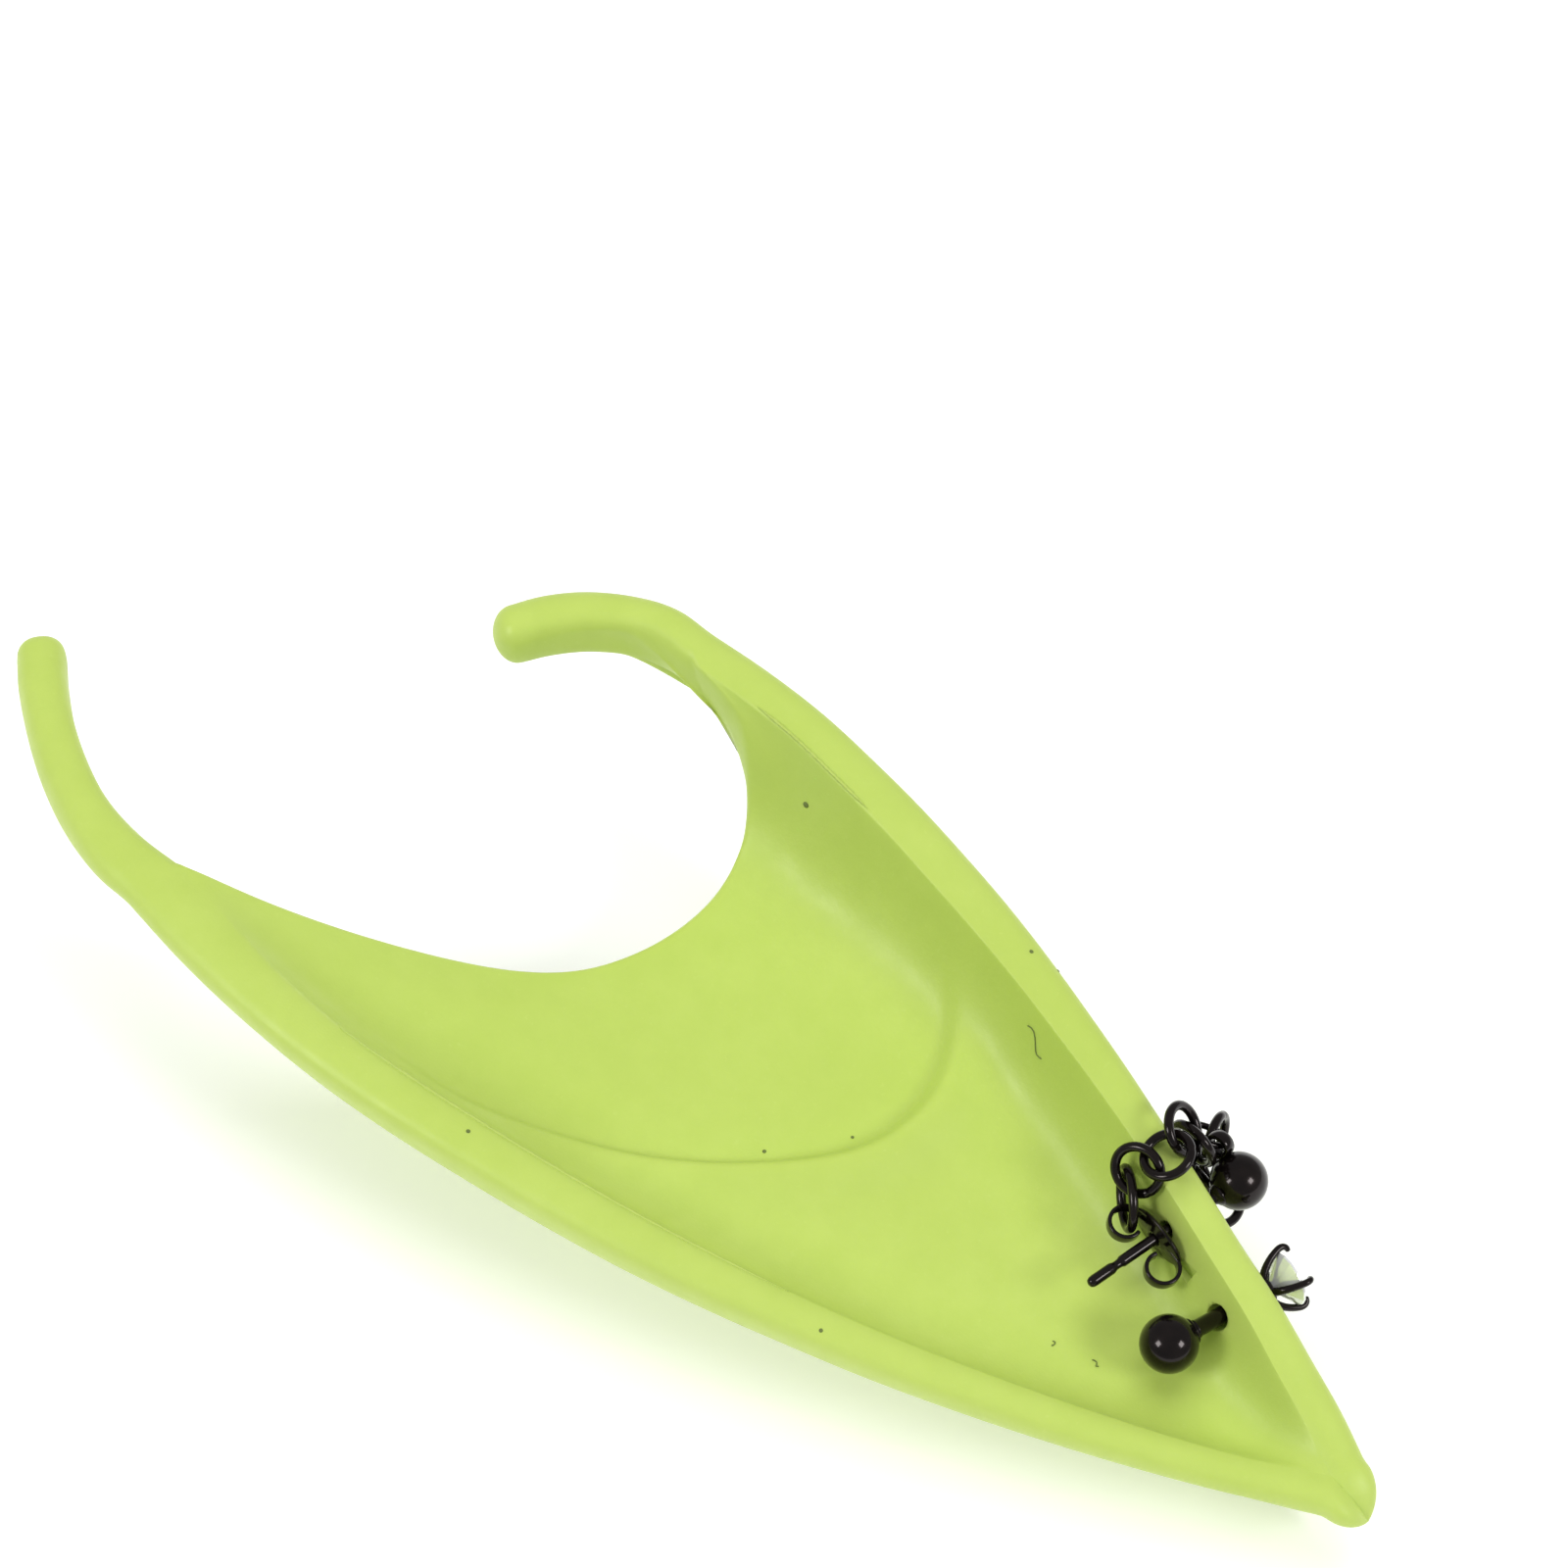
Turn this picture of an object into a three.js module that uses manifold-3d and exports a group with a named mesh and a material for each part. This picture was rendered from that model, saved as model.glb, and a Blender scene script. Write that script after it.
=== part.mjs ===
// Elf ear tip, left ear: a soft moulded latex shell that slips over the top of
// the wearer's ear, with two pieces of body jewellery through its front rim.
// Millimetres, +Z up, lying face up on its own belly.
// +X runs from the open mouth to the pointed tip, +Y towards the front rim.
//
// The shell is one hollow piece: a front skin with the ear's folds, a back wall,
// a solid rolled rim round both, and two curled prongs at the open mouth.
import * as THREE from 'three';
import { mergeVertices } from 'three/addons/utils/BufferGeometryUtils.js';
import Module from 'manifold-3d';

const wasm = await Module();
wasm.setup();

// ---------------------------------------------------------------- sizes, mm
const SKIN = 1.3;            // front skin
const BACK_WALL = 1.7;       // back wall
const SIDE_WALL = 1.9;       // wall beside the pocket, under the rim
const WALL_REACH = 1.6;      // how far the rim's inner wall takes to flatten
const TUCK = 0.38;           // inward lean of the outer wall, per mm of drop
const RIDGE_H = 1.1;         // height of the antihelix fold
const RIDGE_DIP = 0.35;      // crease inside it
const POCKET_END = 0.84;     // where the pocket closes, as a share of the length
const GAP = 0.3;             // between neighbouring pieces
const ORIGIN = [12.64, -26.04, 0];   // centre of the shell's outline, in the table's frame

// facets
const STATIONS = 36;         // from the mouth to the tip
const FRONT = 18;            // across the front skin
const SIDE = 8;              // round each rim
const BACK = 10;             // across the back wall
const ROUND = 4;             // steps of each rounded end

// One row for each section, from the mouth to the inner corner of the tip.
// a: rear rim (inner edge), b: front rim (outer edge); z: rim top; w: rim width;
// hull: height where the outer wall turns under; foot: height where it meets the
// back wall; val: height of the skin at the foot of the rim's inner wall.
// mid: height of the skin half way across; belly: of the back wall half way across.
const SECTIONS = [
  { ax: -21.8, ay: -40.9, az: 16.5, aw: 4.3, aHull: 12.9, aFoot: 12.3, aVal: 16.4, bx: -2.5, by: -4.9, bz: 21.8, bw: 3.3, bHull: 17.6, bFoot: 17.0, bVal: 20.6, mid: 9.0, belly: 0.8 },
  { ax: -16.0, ay: -42.3, az: 16.4, aw: 4.1, aHull: 11.3, aFoot: 10.0, aVal: 15.0, bx: 2.5, by: -4.6, bz: 21.0, bw: 3.5, bHull: 14.2, bFoot: 12.6, bVal: 15.5, mid: 8.8, belly: 0.5 },
  { ax: -10.0, ay: -43.4, az: 16.2, aw: 3.8, aHull: 10.2, aFoot: 8.0, aVal: 13.2, bx: 7.5, by: -4.7, bz: 20.2, bw: 3.6, bHull: 12.0, bFoot: 9.4, bVal: 12.6, mid: 8.6, belly: 0.3 },
  { ax: -4.0, ay: -43.9, az: 15.8, aw: 3.6, aHull: 9.0, aFoot: 6.0, aVal: 11.8, bx: 12.5, by: -5.2, bz: 19.2, bw: 3.7, bHull: 10.2, bFoot: 6.6, bVal: 11.4, mid: 8.5, belly: 0.1 },
  { ax: 2.0, ay: -43.8, az: 15.3, aw: 3.5, aHull: 7.9, aFoot: 4.2, aVal: 10.8, bx: 17.0, by: -5.8, bz: 18.2, bw: 3.7, bHull: 8.7, bFoot: 4.4, bVal: 10.8, mid: 8.4, belly: 0.0 },
  { ax: 8.0, ay: -43.3, az: 14.6, aw: 3.4, aHull: 7.0, aFoot: 2.7, aVal: 10.0, bx: 21.5, by: -6.7, bz: 17.3, bw: 3.7, bHull: 7.5, bFoot: 2.6, bVal: 10.2, mid: 8.3, belly: 0.0 },
  { ax: 14.0, ay: -42.6, az: 13.8, aw: 3.3, aHull: 6.2, aFoot: 1.5, aVal: 9.0, bx: 26.0, by: -7.8, bz: 16.5, bw: 3.6, bHull: 6.7, bFoot: 1.4, bVal: 9.4, mid: 8.3, belly: 0.0 },
  { ax: 20.0, ay: -41.7, az: 13.0, aw: 3.2, aHull: 5.6, aFoot: 0.7, aVal: 8.2, bx: 30.5, by: -9.2, bz: 15.8, bw: 3.4, bHull: 6.0, bFoot: 0.6, bVal: 8.6, mid: 7.9, belly: 0.0 },
  { ax: 26.0, ay: -40.6, az: 12.2, aw: 3.0, aHull: 5.2, aFoot: 0.2, aVal: 7.3, bx: 35.0, by: -10.8, bz: 15.1, bw: 3.2, bHull: 5.5, bFoot: 0.15, bVal: 7.9, mid: 7.2, belly: 0.0 },
  { ax: 32.0, ay: -39.2, az: 11.3, aw: 2.8, aHull: 4.9, aFoot: 0.0, aVal: 6.6, bx: 39.5, by: -12.5, bz: 14.4, bw: 3.0, bHull: 5.2, bFoot: 0.0, bVal: 7.2, mid: 6.6, belly: 0.0 },
  { ax: 38.0, ay: -37.6, az: 10.5, aw: 2.7, aHull: 4.7, aFoot: 0.0, aVal: 6.0, bx: 43.8, by: -14.3, bz: 13.8, bw: 2.8, bHull: 5.0, bFoot: 0.0, bVal: 6.6, mid: 6.1, belly: 0.0 },
  { ax: 44.0, ay: -35.7, az: 9.7, aw: 2.6, aHull: 4.6, aFoot: 0.0, aVal: 5.5, bx: 48.0, by: -16.0, bz: 13.1, bw: 2.7, bHull: 5.0, bFoot: 0.0, bVal: 6.1, mid: 5.6, belly: 0.0 },
  { ax: 50.0, ay: -33.6, az: 8.9, aw: 2.5, aHull: 4.7, aFoot: 0.0, aVal: 5.1, bx: 52.5, by: -17.8, bz: 12.0, bw: 2.7, bHull: 5.0, bFoot: 0.0, bVal: 5.6, mid: 5.2, belly: 0.0 },
  { ax: 55.5, ay: -31.5, az: 8.2, aw: 2.4, aHull: 4.9, aFoot: 0.0, aVal: 4.9, bx: 57.0, by: -19.5, bz: 10.9, bw: 2.8, bHull: 5.0, bFoot: 0.0, bVal: 5.2, mid: 4.9, belly: 0.0 },
  { ax: 60.0, ay: -29.7, az: 7.8, aw: 2.3, aHull: 5.0, aFoot: 0.3, aVal: 5.0, bx: 60.8, by: -21.1, bz: 9.7, bw: 2.9, bHull: 5.0, bFoot: 0.3, bVal: 5.1, mid: 4.9, belly: 0.3 },
  { ax: 63.5, ay: -28.2, az: 7.6, aw: 2.2, aHull: 5.0, aFoot: 0.9, aVal: 5.6, bx: 64.3, by: -22.6, bz: 8.6, bw: 2.9, bHull: 4.9, bFoot: 0.9, bVal: 5.6, mid: 5.5, belly: 0.9 },
  { ax: 66.3, ay: -27.0, az: 7.4, aw: 2.2, aHull: 4.8, aFoot: 1.7, aVal: 6.6, bx: 67.2, by: -24.1, bz: 7.6, bw: 2.9, bHull: 4.8, bFoot: 1.7, bVal: 6.6, mid: 6.6, belly: 1.7 },
];
const TIP = { x: 66.1, y: -26.8 };          // inner corner of the two rims
const NOSE = { x: 69.4, y: -26.9 };         // outermost point of the tip

// Edge of the front skin round the open mouth, rear neck to front neck.
const LIP = [
  { x: -21.8, y: -40.9, z: 16.4 }, { x: -16.9, y: -39.2, z: 14.7 }, { x: -10.7, y: -36.2, z: 12.5 },
  { x: -4.8, y: -32.8, z: 10.5 }, { x: -0.3, y: -29.8, z: 9.4 }, { x: 2.8, y: -26.8, z: 8.9 },
  { x: 4.9, y: -23.2, z: 8.8 }, { x: 6.1, y: -19.5, z: 9.0 }, { x: 6.5, y: -16.0, z: 9.6 },
  { x: 6.1, y: -12.9, z: 10.8 }, { x: 5.1, y: -10.5, z: 12.6 }, { x: 2.4, y: -8.8, z: 17.0 },
  { x: -2.0, y: -8.2, z: 20.6 },
];
// How far the back wall's edge stays behind the front skin's, rear to front.
const RECESS = [
  { x: 0.0, y: 0.0 }, { x: 1.5, y: -1.0 }, { x: 3.8, y: -0.2 }, { x: 5.0, y: 2.8 }, { x: 3.0, y: 2.4 },
];
// Antihelix fold: its inner crease, from the rear arm round to the front arm; h is
// the share of the full height.
const RIDGE = [
  { x: -6.0, y: -41.4, h: 0.0 }, { x: 0.0, y: -41.1, h: 0.35 }, { x: 4.6, y: -40.5, h: 0.6 },
  { x: 10.7, y: -38.3, h: 0.9 }, { x: 16.6, y: -35.4, h: 1.0 }, { x: 21.9, y: -31.4, h: 1.0 },
  { x: 26.4, y: -26.5, h: 1.0 }, { x: 27.8, y: -22.0, h: 1.0 }, { x: 27.2, y: -18.0, h: 0.8 },
  { x: 25.0, y: -14.2, h: 0.4 }, { x: 21.8, y: -10.7, h: 0.0 },
];
// Prongs: centre of each section, from the neck outwards; w across, t tall, g groove.
const REAR_PRONG = [
  { x: -25.6, y: -42.6, z: 14.4, w: 4.1, t: 4.3, g: 0.14 }, { x: -29.4, y: -41.4, z: 14.5, w: 4.0, t: 4.3, g: 0.12 },
  { x: -33.3, y: -39.6, z: 14.6, w: 3.9, t: 4.3, g: 0.1 }, { x: -36.9, y: -37.4, z: 14.6, w: 3.8, t: 4.3, g: 0.08 },
  { x: -40.2, y: -34.9, z: 14.6, w: 3.8, t: 4.3, g: 0.05 }, { x: -42.4, y: -32.9, z: 14.6, w: 3.7, t: 4.2, g: 0.02 },
];
const FRONT_PRONG = [
  { x: -5.2, y: -6.8, z: 20.3, w: 3.6, t: 4.6, g: 0.14 }, { x: -7.8, y: -7.8, z: 20.5, w: 3.7, t: 4.6, g: 0.12 },
  { x: -10.4, y: -9.5, z: 20.6, w: 3.8, t: 4.6, g: 0.08 }, { x: -12.4, y: -11.4, z: 20.5, w: 3.9, t: 4.5, g: 0.05 },
  { x: -13.9, y: -13.2, z: 20.2, w: 3.8, t: 4.4, g: 0.02 },
];
const PRONG_ROUND = 1.6;     // length of a prong's rounded end
const FLAT = 1.6;            // how far the soft belly is pressed flat where it lies

// Jewellery
const BALL_R = 2.0;          // both studs carry 4 mm balls
const STUD = { x: 49.44, y: -13.45, z: 10.0, post: 0.4, length: 13.2 };      // ball centre
const STUD_DIR = new THREE.Vector3(-0.249, -0.969, 0).normalize();
const LABRET = { x: 52.56, y: -25.93, z: 8.6, bar: 0.6 };                   // inner ball centre
const LABRET_DIR = new THREE.Vector3(0.357, 0.934, 0).normalize();          // outwards
const STONE_R = 2.0;
const LINK = { R: 1.65, r: 0.34 };
const END_LINK = { A: 2.05, B: 1.45 };
const JUMP = { R: 1.5, r: 0.23 };
const BAIL = { inner: 0.6, outer: 0.95, width: 0.9 };       // short tube on the ball that holds the jump ring
const HOLE_CLEAR = 0.3;
// Chain from the clutch over the rim to the jump ring: centre and axis of each link;
// l is the long direction of the oval end link.
const CHAIN = [
  { x: 44.65, y: -19.80, z: 11.06, nx: 0.684, ny: 0.714, nz: -0.148, lx: 0.614, ly: -0.673, lz: -0.413 },
  { x: 44.55, y: -18.67, z: 13.11, nx: 0.070, ny: -0.840, nz: 0.538 },
  { x: 45.83, y: -17.20, z: 14.41, nx: -0.304, ny: -0.231, nz: 0.924 },
  { x: 45.48, y: -14.88, z: 14.35, nx: 0.719, ny: 0.323, nz: 0.616 },
  { x: 46.05, y: -14.17, z: 12.30, nx: -0.141, ny: -0.986, nz: -0.087 },
  { x: 46.08, y: -13.97, z: 9.86, nx: -0.909, ny: -0.416, nz: -0.043 },
  { x: 46.25, y: -13.51, z: 7.54, nx: 0.221, ny: 0.925, nz: 0.309 },
  { x: 48.18, y: -13.33, z: 6.08, nx: 0.573, ny: -0.028, nz: 0.819 },
  { x: 46.66, y: -11.97, z: 7.21, nx: 0.397, ny: 0.908, nz: -0.130 },
  { x: 46.19, y: -11.39, z: 9.55, nx: -0.970, ny: -0.210, nz: -0.126 },
  { x: 46.04, y: -12.60, z: 11.42, nx: -0.093, ny: 0.601, nz: 0.794 },
];

// ---------------------------------------------------------------- interpolation
function smooth(values, u) {
  // Catmull-Rom through evenly counted rows, u counted in rows
  const n = values.length - 1;
  u = Math.min(Math.max(u, 0), n);
  const i = Math.min(Math.floor(u), n - 1), f = u - i;
  const p1 = values[i], p2 = values[i + 1];
  const p0 = i > 0 ? values[i - 1] : 2 * p1 - p2;
  const p3 = i < n - 1 ? values[i + 2] : 2 * p2 - p1;
  return p1 + 0.5 * f * (p2 - p0 + f * (2 * p0 - 5 * p1 + 4 * p2 - p3 + f * (3 * (p1 - p2) + p3 - p0)));
}
const at = (rows, key, share) => smooth(rows.map((r) => r[key]), share * (rows.length - 1));
const mix = (a, b, f) => a + (b - a) * f;
const step = (a, b, v) => { const f = Math.min(Math.max((v - a) / (b - a), 0), 1); return f * f * (3 - 2 * f); };

// Rim edges, plan normals and heights at a share s of the way to the tip.
function rim(side, s) {
  const d = 0.004, s0 = Math.max(s - d, 0), s1 = Math.min(s + d, 1);
  const x = at(SECTIONS, side + 'x', s), y = at(SECTIONS, side + 'y', s), w = at(SECTIONS, side + 'w', s);
  let tx = at(SECTIONS, side + 'x', s1) - at(SECTIONS, side + 'x', s0);
  let ty = at(SECTIONS, side + 'y', s1) - at(SECTIONS, side + 'y', s0);
  const l = Math.hypot(tx, ty); tx /= l; ty /= l;
  const n = side === 'a' ? [ty, -tx] : [-ty, tx];
  const inner = side === 'a' ? [x, y] : [x - w * n[0], y - w * n[1]];
  const outer = side === 'a' ? [x + w * n[0], y + w * n[1]] : [x, y];
  return { n, inner, outer, w, z: at(SECTIONS, side + 'z', s), hull: at(SECTIONS, side + 'Hull', s), foot: at(SECTIONS, side + 'Foot', s) };
}
function innerEdge(side, s) {
  // the two inner edges close on each other at the tip's inner corner
  const r = rim(side, s), end = rim(side, 1), f = Math.pow(Math.max((s - 0.86) / 0.14, 0), 2);
  return [r.inner[0] + (TIP.x - end.inner[0]) * f, r.inner[1] + (TIP.y - end.inner[1]) * f, r.z];
}
const EDGE = {};
for (const side of ['a', 'b']) {
  EDGE[side] = [];
  for (let i = 0; i <= 160; i++) EDGE[side].push(innerEdge(side, i / 160));
}
function nearest(line, x, y) {
  let best = { d: 1e9 };
  for (let i = 0; i + 1 < line.length; i++) {
    const p = line[i], q = line[i + 1], ux = q[0] - p[0], uy = q[1] - p[1];
    const f = Math.min(Math.max(((x - p[0]) * ux + (y - p[1]) * uy) / (ux * ux + uy * uy), 0), 1);
    const px = p[0] + f * ux, py = p[1] + f * uy, d = Math.hypot(x - px, y - py);
    if (d < best.d) best = { d, v: mix(p[2], q[2], f), side: ux * (y - py) - uy * (x - px) };
  }
  return best;
}
const RIDGE_LINE = [];
for (let i = 0; i <= 60; i++) RIDGE_LINE.push([at(RIDGE, 'x', i / 60), at(RIDGE, 'y', i / 60), at(RIDGE, 'h', i / 60)]);

// ---------------------------------------------------------------- front skin
const A0 = innerEdge('a', 0), B0 = innerEdge('b', 0);
function patch(s, q) {
  const a = innerEdge('a', s), b = innerEdge('b', s), f = Math.pow(1 - s, 1.3);
  return [0, 1].map((k) => mix(a[k], b[k], q) + f * (at(LIP, k ? 'y' : 'x', q) - mix(A0[k], B0[k], q)));
}
function quad(a, m, b, q) { return a * (1 - q) * (1 - 2 * q) + 4 * m * q * (1 - q) + b * q * (2 * q - 1); }
function floorHeight(s, q) {
  const here = quad(at(SECTIONS, 'aVal', s), at(SECTIONS, 'mid', s), at(SECTIONS, 'bVal', s), q);
  const first = SECTIONS[0], f = Math.pow(Math.max(1 - s / 0.2, 0), 2);
  return here + f * (at(LIP, 'z', q) - quad(first.aVal, first.mid, first.bVal, q));
}
function ridgeHeight(x, y) {
  const r = nearest(RIDGE_LINE, x, y), d = r.side < 0 ? r.d : -r.d;
  let h;
  if (d < 0) h = -RIDGE_DIP * Math.exp(-Math.pow(d / 2.5, 2));
  else if (d < 1.5) h = -RIDGE_DIP + (RIDGE_H + RIDGE_DIP) * step(0, 1.5, d);
  else h = RIDGE_H * Math.exp(-Math.pow((d - 1.5) / 2.6, 2));
  return h * r.v;
}
function skinHeight(s, q, x, y) {
  const base = floorHeight(s, q) + ridgeHeight(x, y);
  const ra = nearest(EDGE.a, x, y), rb = nearest(EDGE.b, x, y);
  const ga = Math.exp(-Math.pow(ra.d / WALL_REACH, 1.15)), gb = Math.exp(-Math.pow(rb.d / WALL_REACH, 1.15));
  const top = (ga * ra.v + gb * rb.v) / (ga + gb + 1e-9) - 0.3;
  return base + Math.max(top - base, 0) * (1 - (1 - ga) * (1 - gb));
}

// ---------------------------------------------------------------- sections
// Rim profile from the inner edge outwards and down: in is the distance from the
// outer edge as a share of the width, drop the depth below the rim's top.
function sidePoints(side, s) {
  const r = rim(side, s), lean = TUCK * (r.z - r.hull), under = mix(0.3, 1, step(0, 0.25, s)) * mix(1, 0.5, step(0.8, 1, s));
  const rows = [
    { t: 0.72 * r.w, z: r.z }, { t: 0.4 * r.w, z: r.z }, { t: 0.12 * r.w, z: r.z - 0.4 }, { t: 0, z: r.z - 1.2 },
    { t: 0.3 * lean, z: mix(r.z - 1.2, r.hull, 0.5) }, { t: lean, z: r.hull },
    { t: lean + 1.3 * under, z: mix(r.foot, r.hull, 0.42) }, { t: lean + 3.2 * under, z: mix(r.foot, r.hull, 0.1) },
  ];
  return rows.map((p) => [r.outer[0] - p.t * r.n[0], r.outer[1] - p.t * r.n[1], p.z]);
}
const BACK_A0 = sidePoints('a', 0)[SIDE - 1], BACK_B0 = sidePoints('b', 0)[SIDE - 1];
function backPoint(s, r) {
  // r runs from the front rim to the rear rim
  const b = sidePoints('b', s)[SIDE - 1], a = sidePoints('a', s)[SIDE - 1], q = 1 - r, f = Math.pow(1 - s, 1.3);
  const p = [0, 1].map((k) => {
    const key = k ? 'y' : 'x';
    const edge = at(LIP, key, q) + at(RECESS, key, q), e0 = at(LIP, key, 1), e1 = at(LIP, key, 0);
    const straight = mix(BACK_B0[k], BACK_A0[k], r), shift = mix(BACK_B0[k] - e0, BACK_A0[k] - e1, step(0, 1, r));
    return mix(b[k], a[k], r) + f * (edge + shift * Math.pow(Math.abs(2 * r - 1), 3) - straight);
  });
  const belly = at(SECTIONS, 'belly', s);
  const z = belly + (b[2] - belly) * Math.pow(1 - r, 4) + (a[2] - belly) * Math.pow(r, 4) - (0.35 + FLAT * step(0.15, 0.32, s) * (1 - step(0.5, 0.75, s))) * Math.min(1, 6 * r * (1 - r));
  return [p[0], p[1], s < 0.86 ? Math.max(0, z) : Math.max(0, mix(Math.max(0, z), z + 0.3, step(0.86, 1, s)))];
}
function outerRing(s) {
  const ring = [];
  for (let i = 0; i < FRONT; i++) {
    const f = i / (FRONT - 1), q = mix(f, 0.5 - 0.5 * Math.cos(Math.PI * f), 0.6);
    const p = patch(s, q);
    ring.push([p[0], p[1], skinHeight(s, q, p[0], p[1])]);
  }
  ring.push(...sidePoints('b', s));
  for (let i = 1; i <= BACK; i++) ring.push(backPoint(s, i / (BACK + 1)));
  ring.push(...sidePoints('a', s).reverse());
  return ring;
}
function pocketRing(s) {
  const ring = [], top = [], a = innerEdge('a', s), b = innerEdge('b', s);
  const inset = mix(0.8, 2.8, step(0, 0.12, s)), span = Math.hypot(a[0] - b[0], a[1] - b[1]);
  for (let i = 0; i < FRONT; i++) {
    const q = mix(inset / span, 1 - inset / span, i / (FRONT - 1)), p = patch(s, q);
    top.push([p[0], p[1], floorHeight(s, q) + 0.5 * ridgeHeight(p[0], p[1]) - SKIN]);
  }
  const bottom = [], edge = 2.0 / span;
  for (let i = 0; i < BACK + 2; i++) {
    const p = backPoint(s, mix(edge, 1 - edge, i / (BACK + 1)));
    bottom.push([p[0], p[1], p[2] + BACK_WALL]);
  }
  // never less than a thin slot between the two
  top.forEach((p, i) => {
    const o = bottom[Math.round((1 - i / (FRONT - 1)) * (BACK + 1))];
    if (p[2] < o[2] + 0.7) { const m = (p[2] + o[2]) / 2; p[2] = m + 0.35; o[2] = Math.min(o[2], m - 0.35); }
  });
  const bulge = (side, from, to) => {
    const r = rim(side, s), lean = TUCK * (r.z - r.hull);
    const t = (p) => (r.outer[0] - p[0]) * r.n[0] + (r.outer[1] - p[1]) * r.n[1];
    const reach = 2 * (lean + SIDE_WALL) - (t(from) + t(to)) / 2, mid = [(from[0] + to[0]) / 2, (from[1] + to[1]) / 2];
    const tm = (t(from) + t(to)) / 2, c = [mid[0] + (tm - reach) * r.n[0], mid[1] + (tm - reach) * r.n[1], (from[2] + to[2]) / 2];
    const list = [];
    for (let i = 1; i <= SIDE; i++) {
      const f = i / (SIDE + 1);
      list.push([0, 1, 2].map((k) => (1 - f) * (1 - f) * from[k] + 2 * f * (1 - f) * c[k] + f * f * to[k]));
    }
    return list;
  };
  ring.push(...top);
  const inner = bottom.slice(1, -1);
  const sb = bulge('b', top[FRONT - 1], bottom[0]), sa = bulge('a', bottom[BACK + 1], top[0]);
  // the outermost points of the floor belong to the sides
  sb[SIDE - 1] = bottom[0]; sa[0] = bottom[BACK + 1];
  ring.push(...sb, ...inner, ...sa);
  return ring;
}

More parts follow.
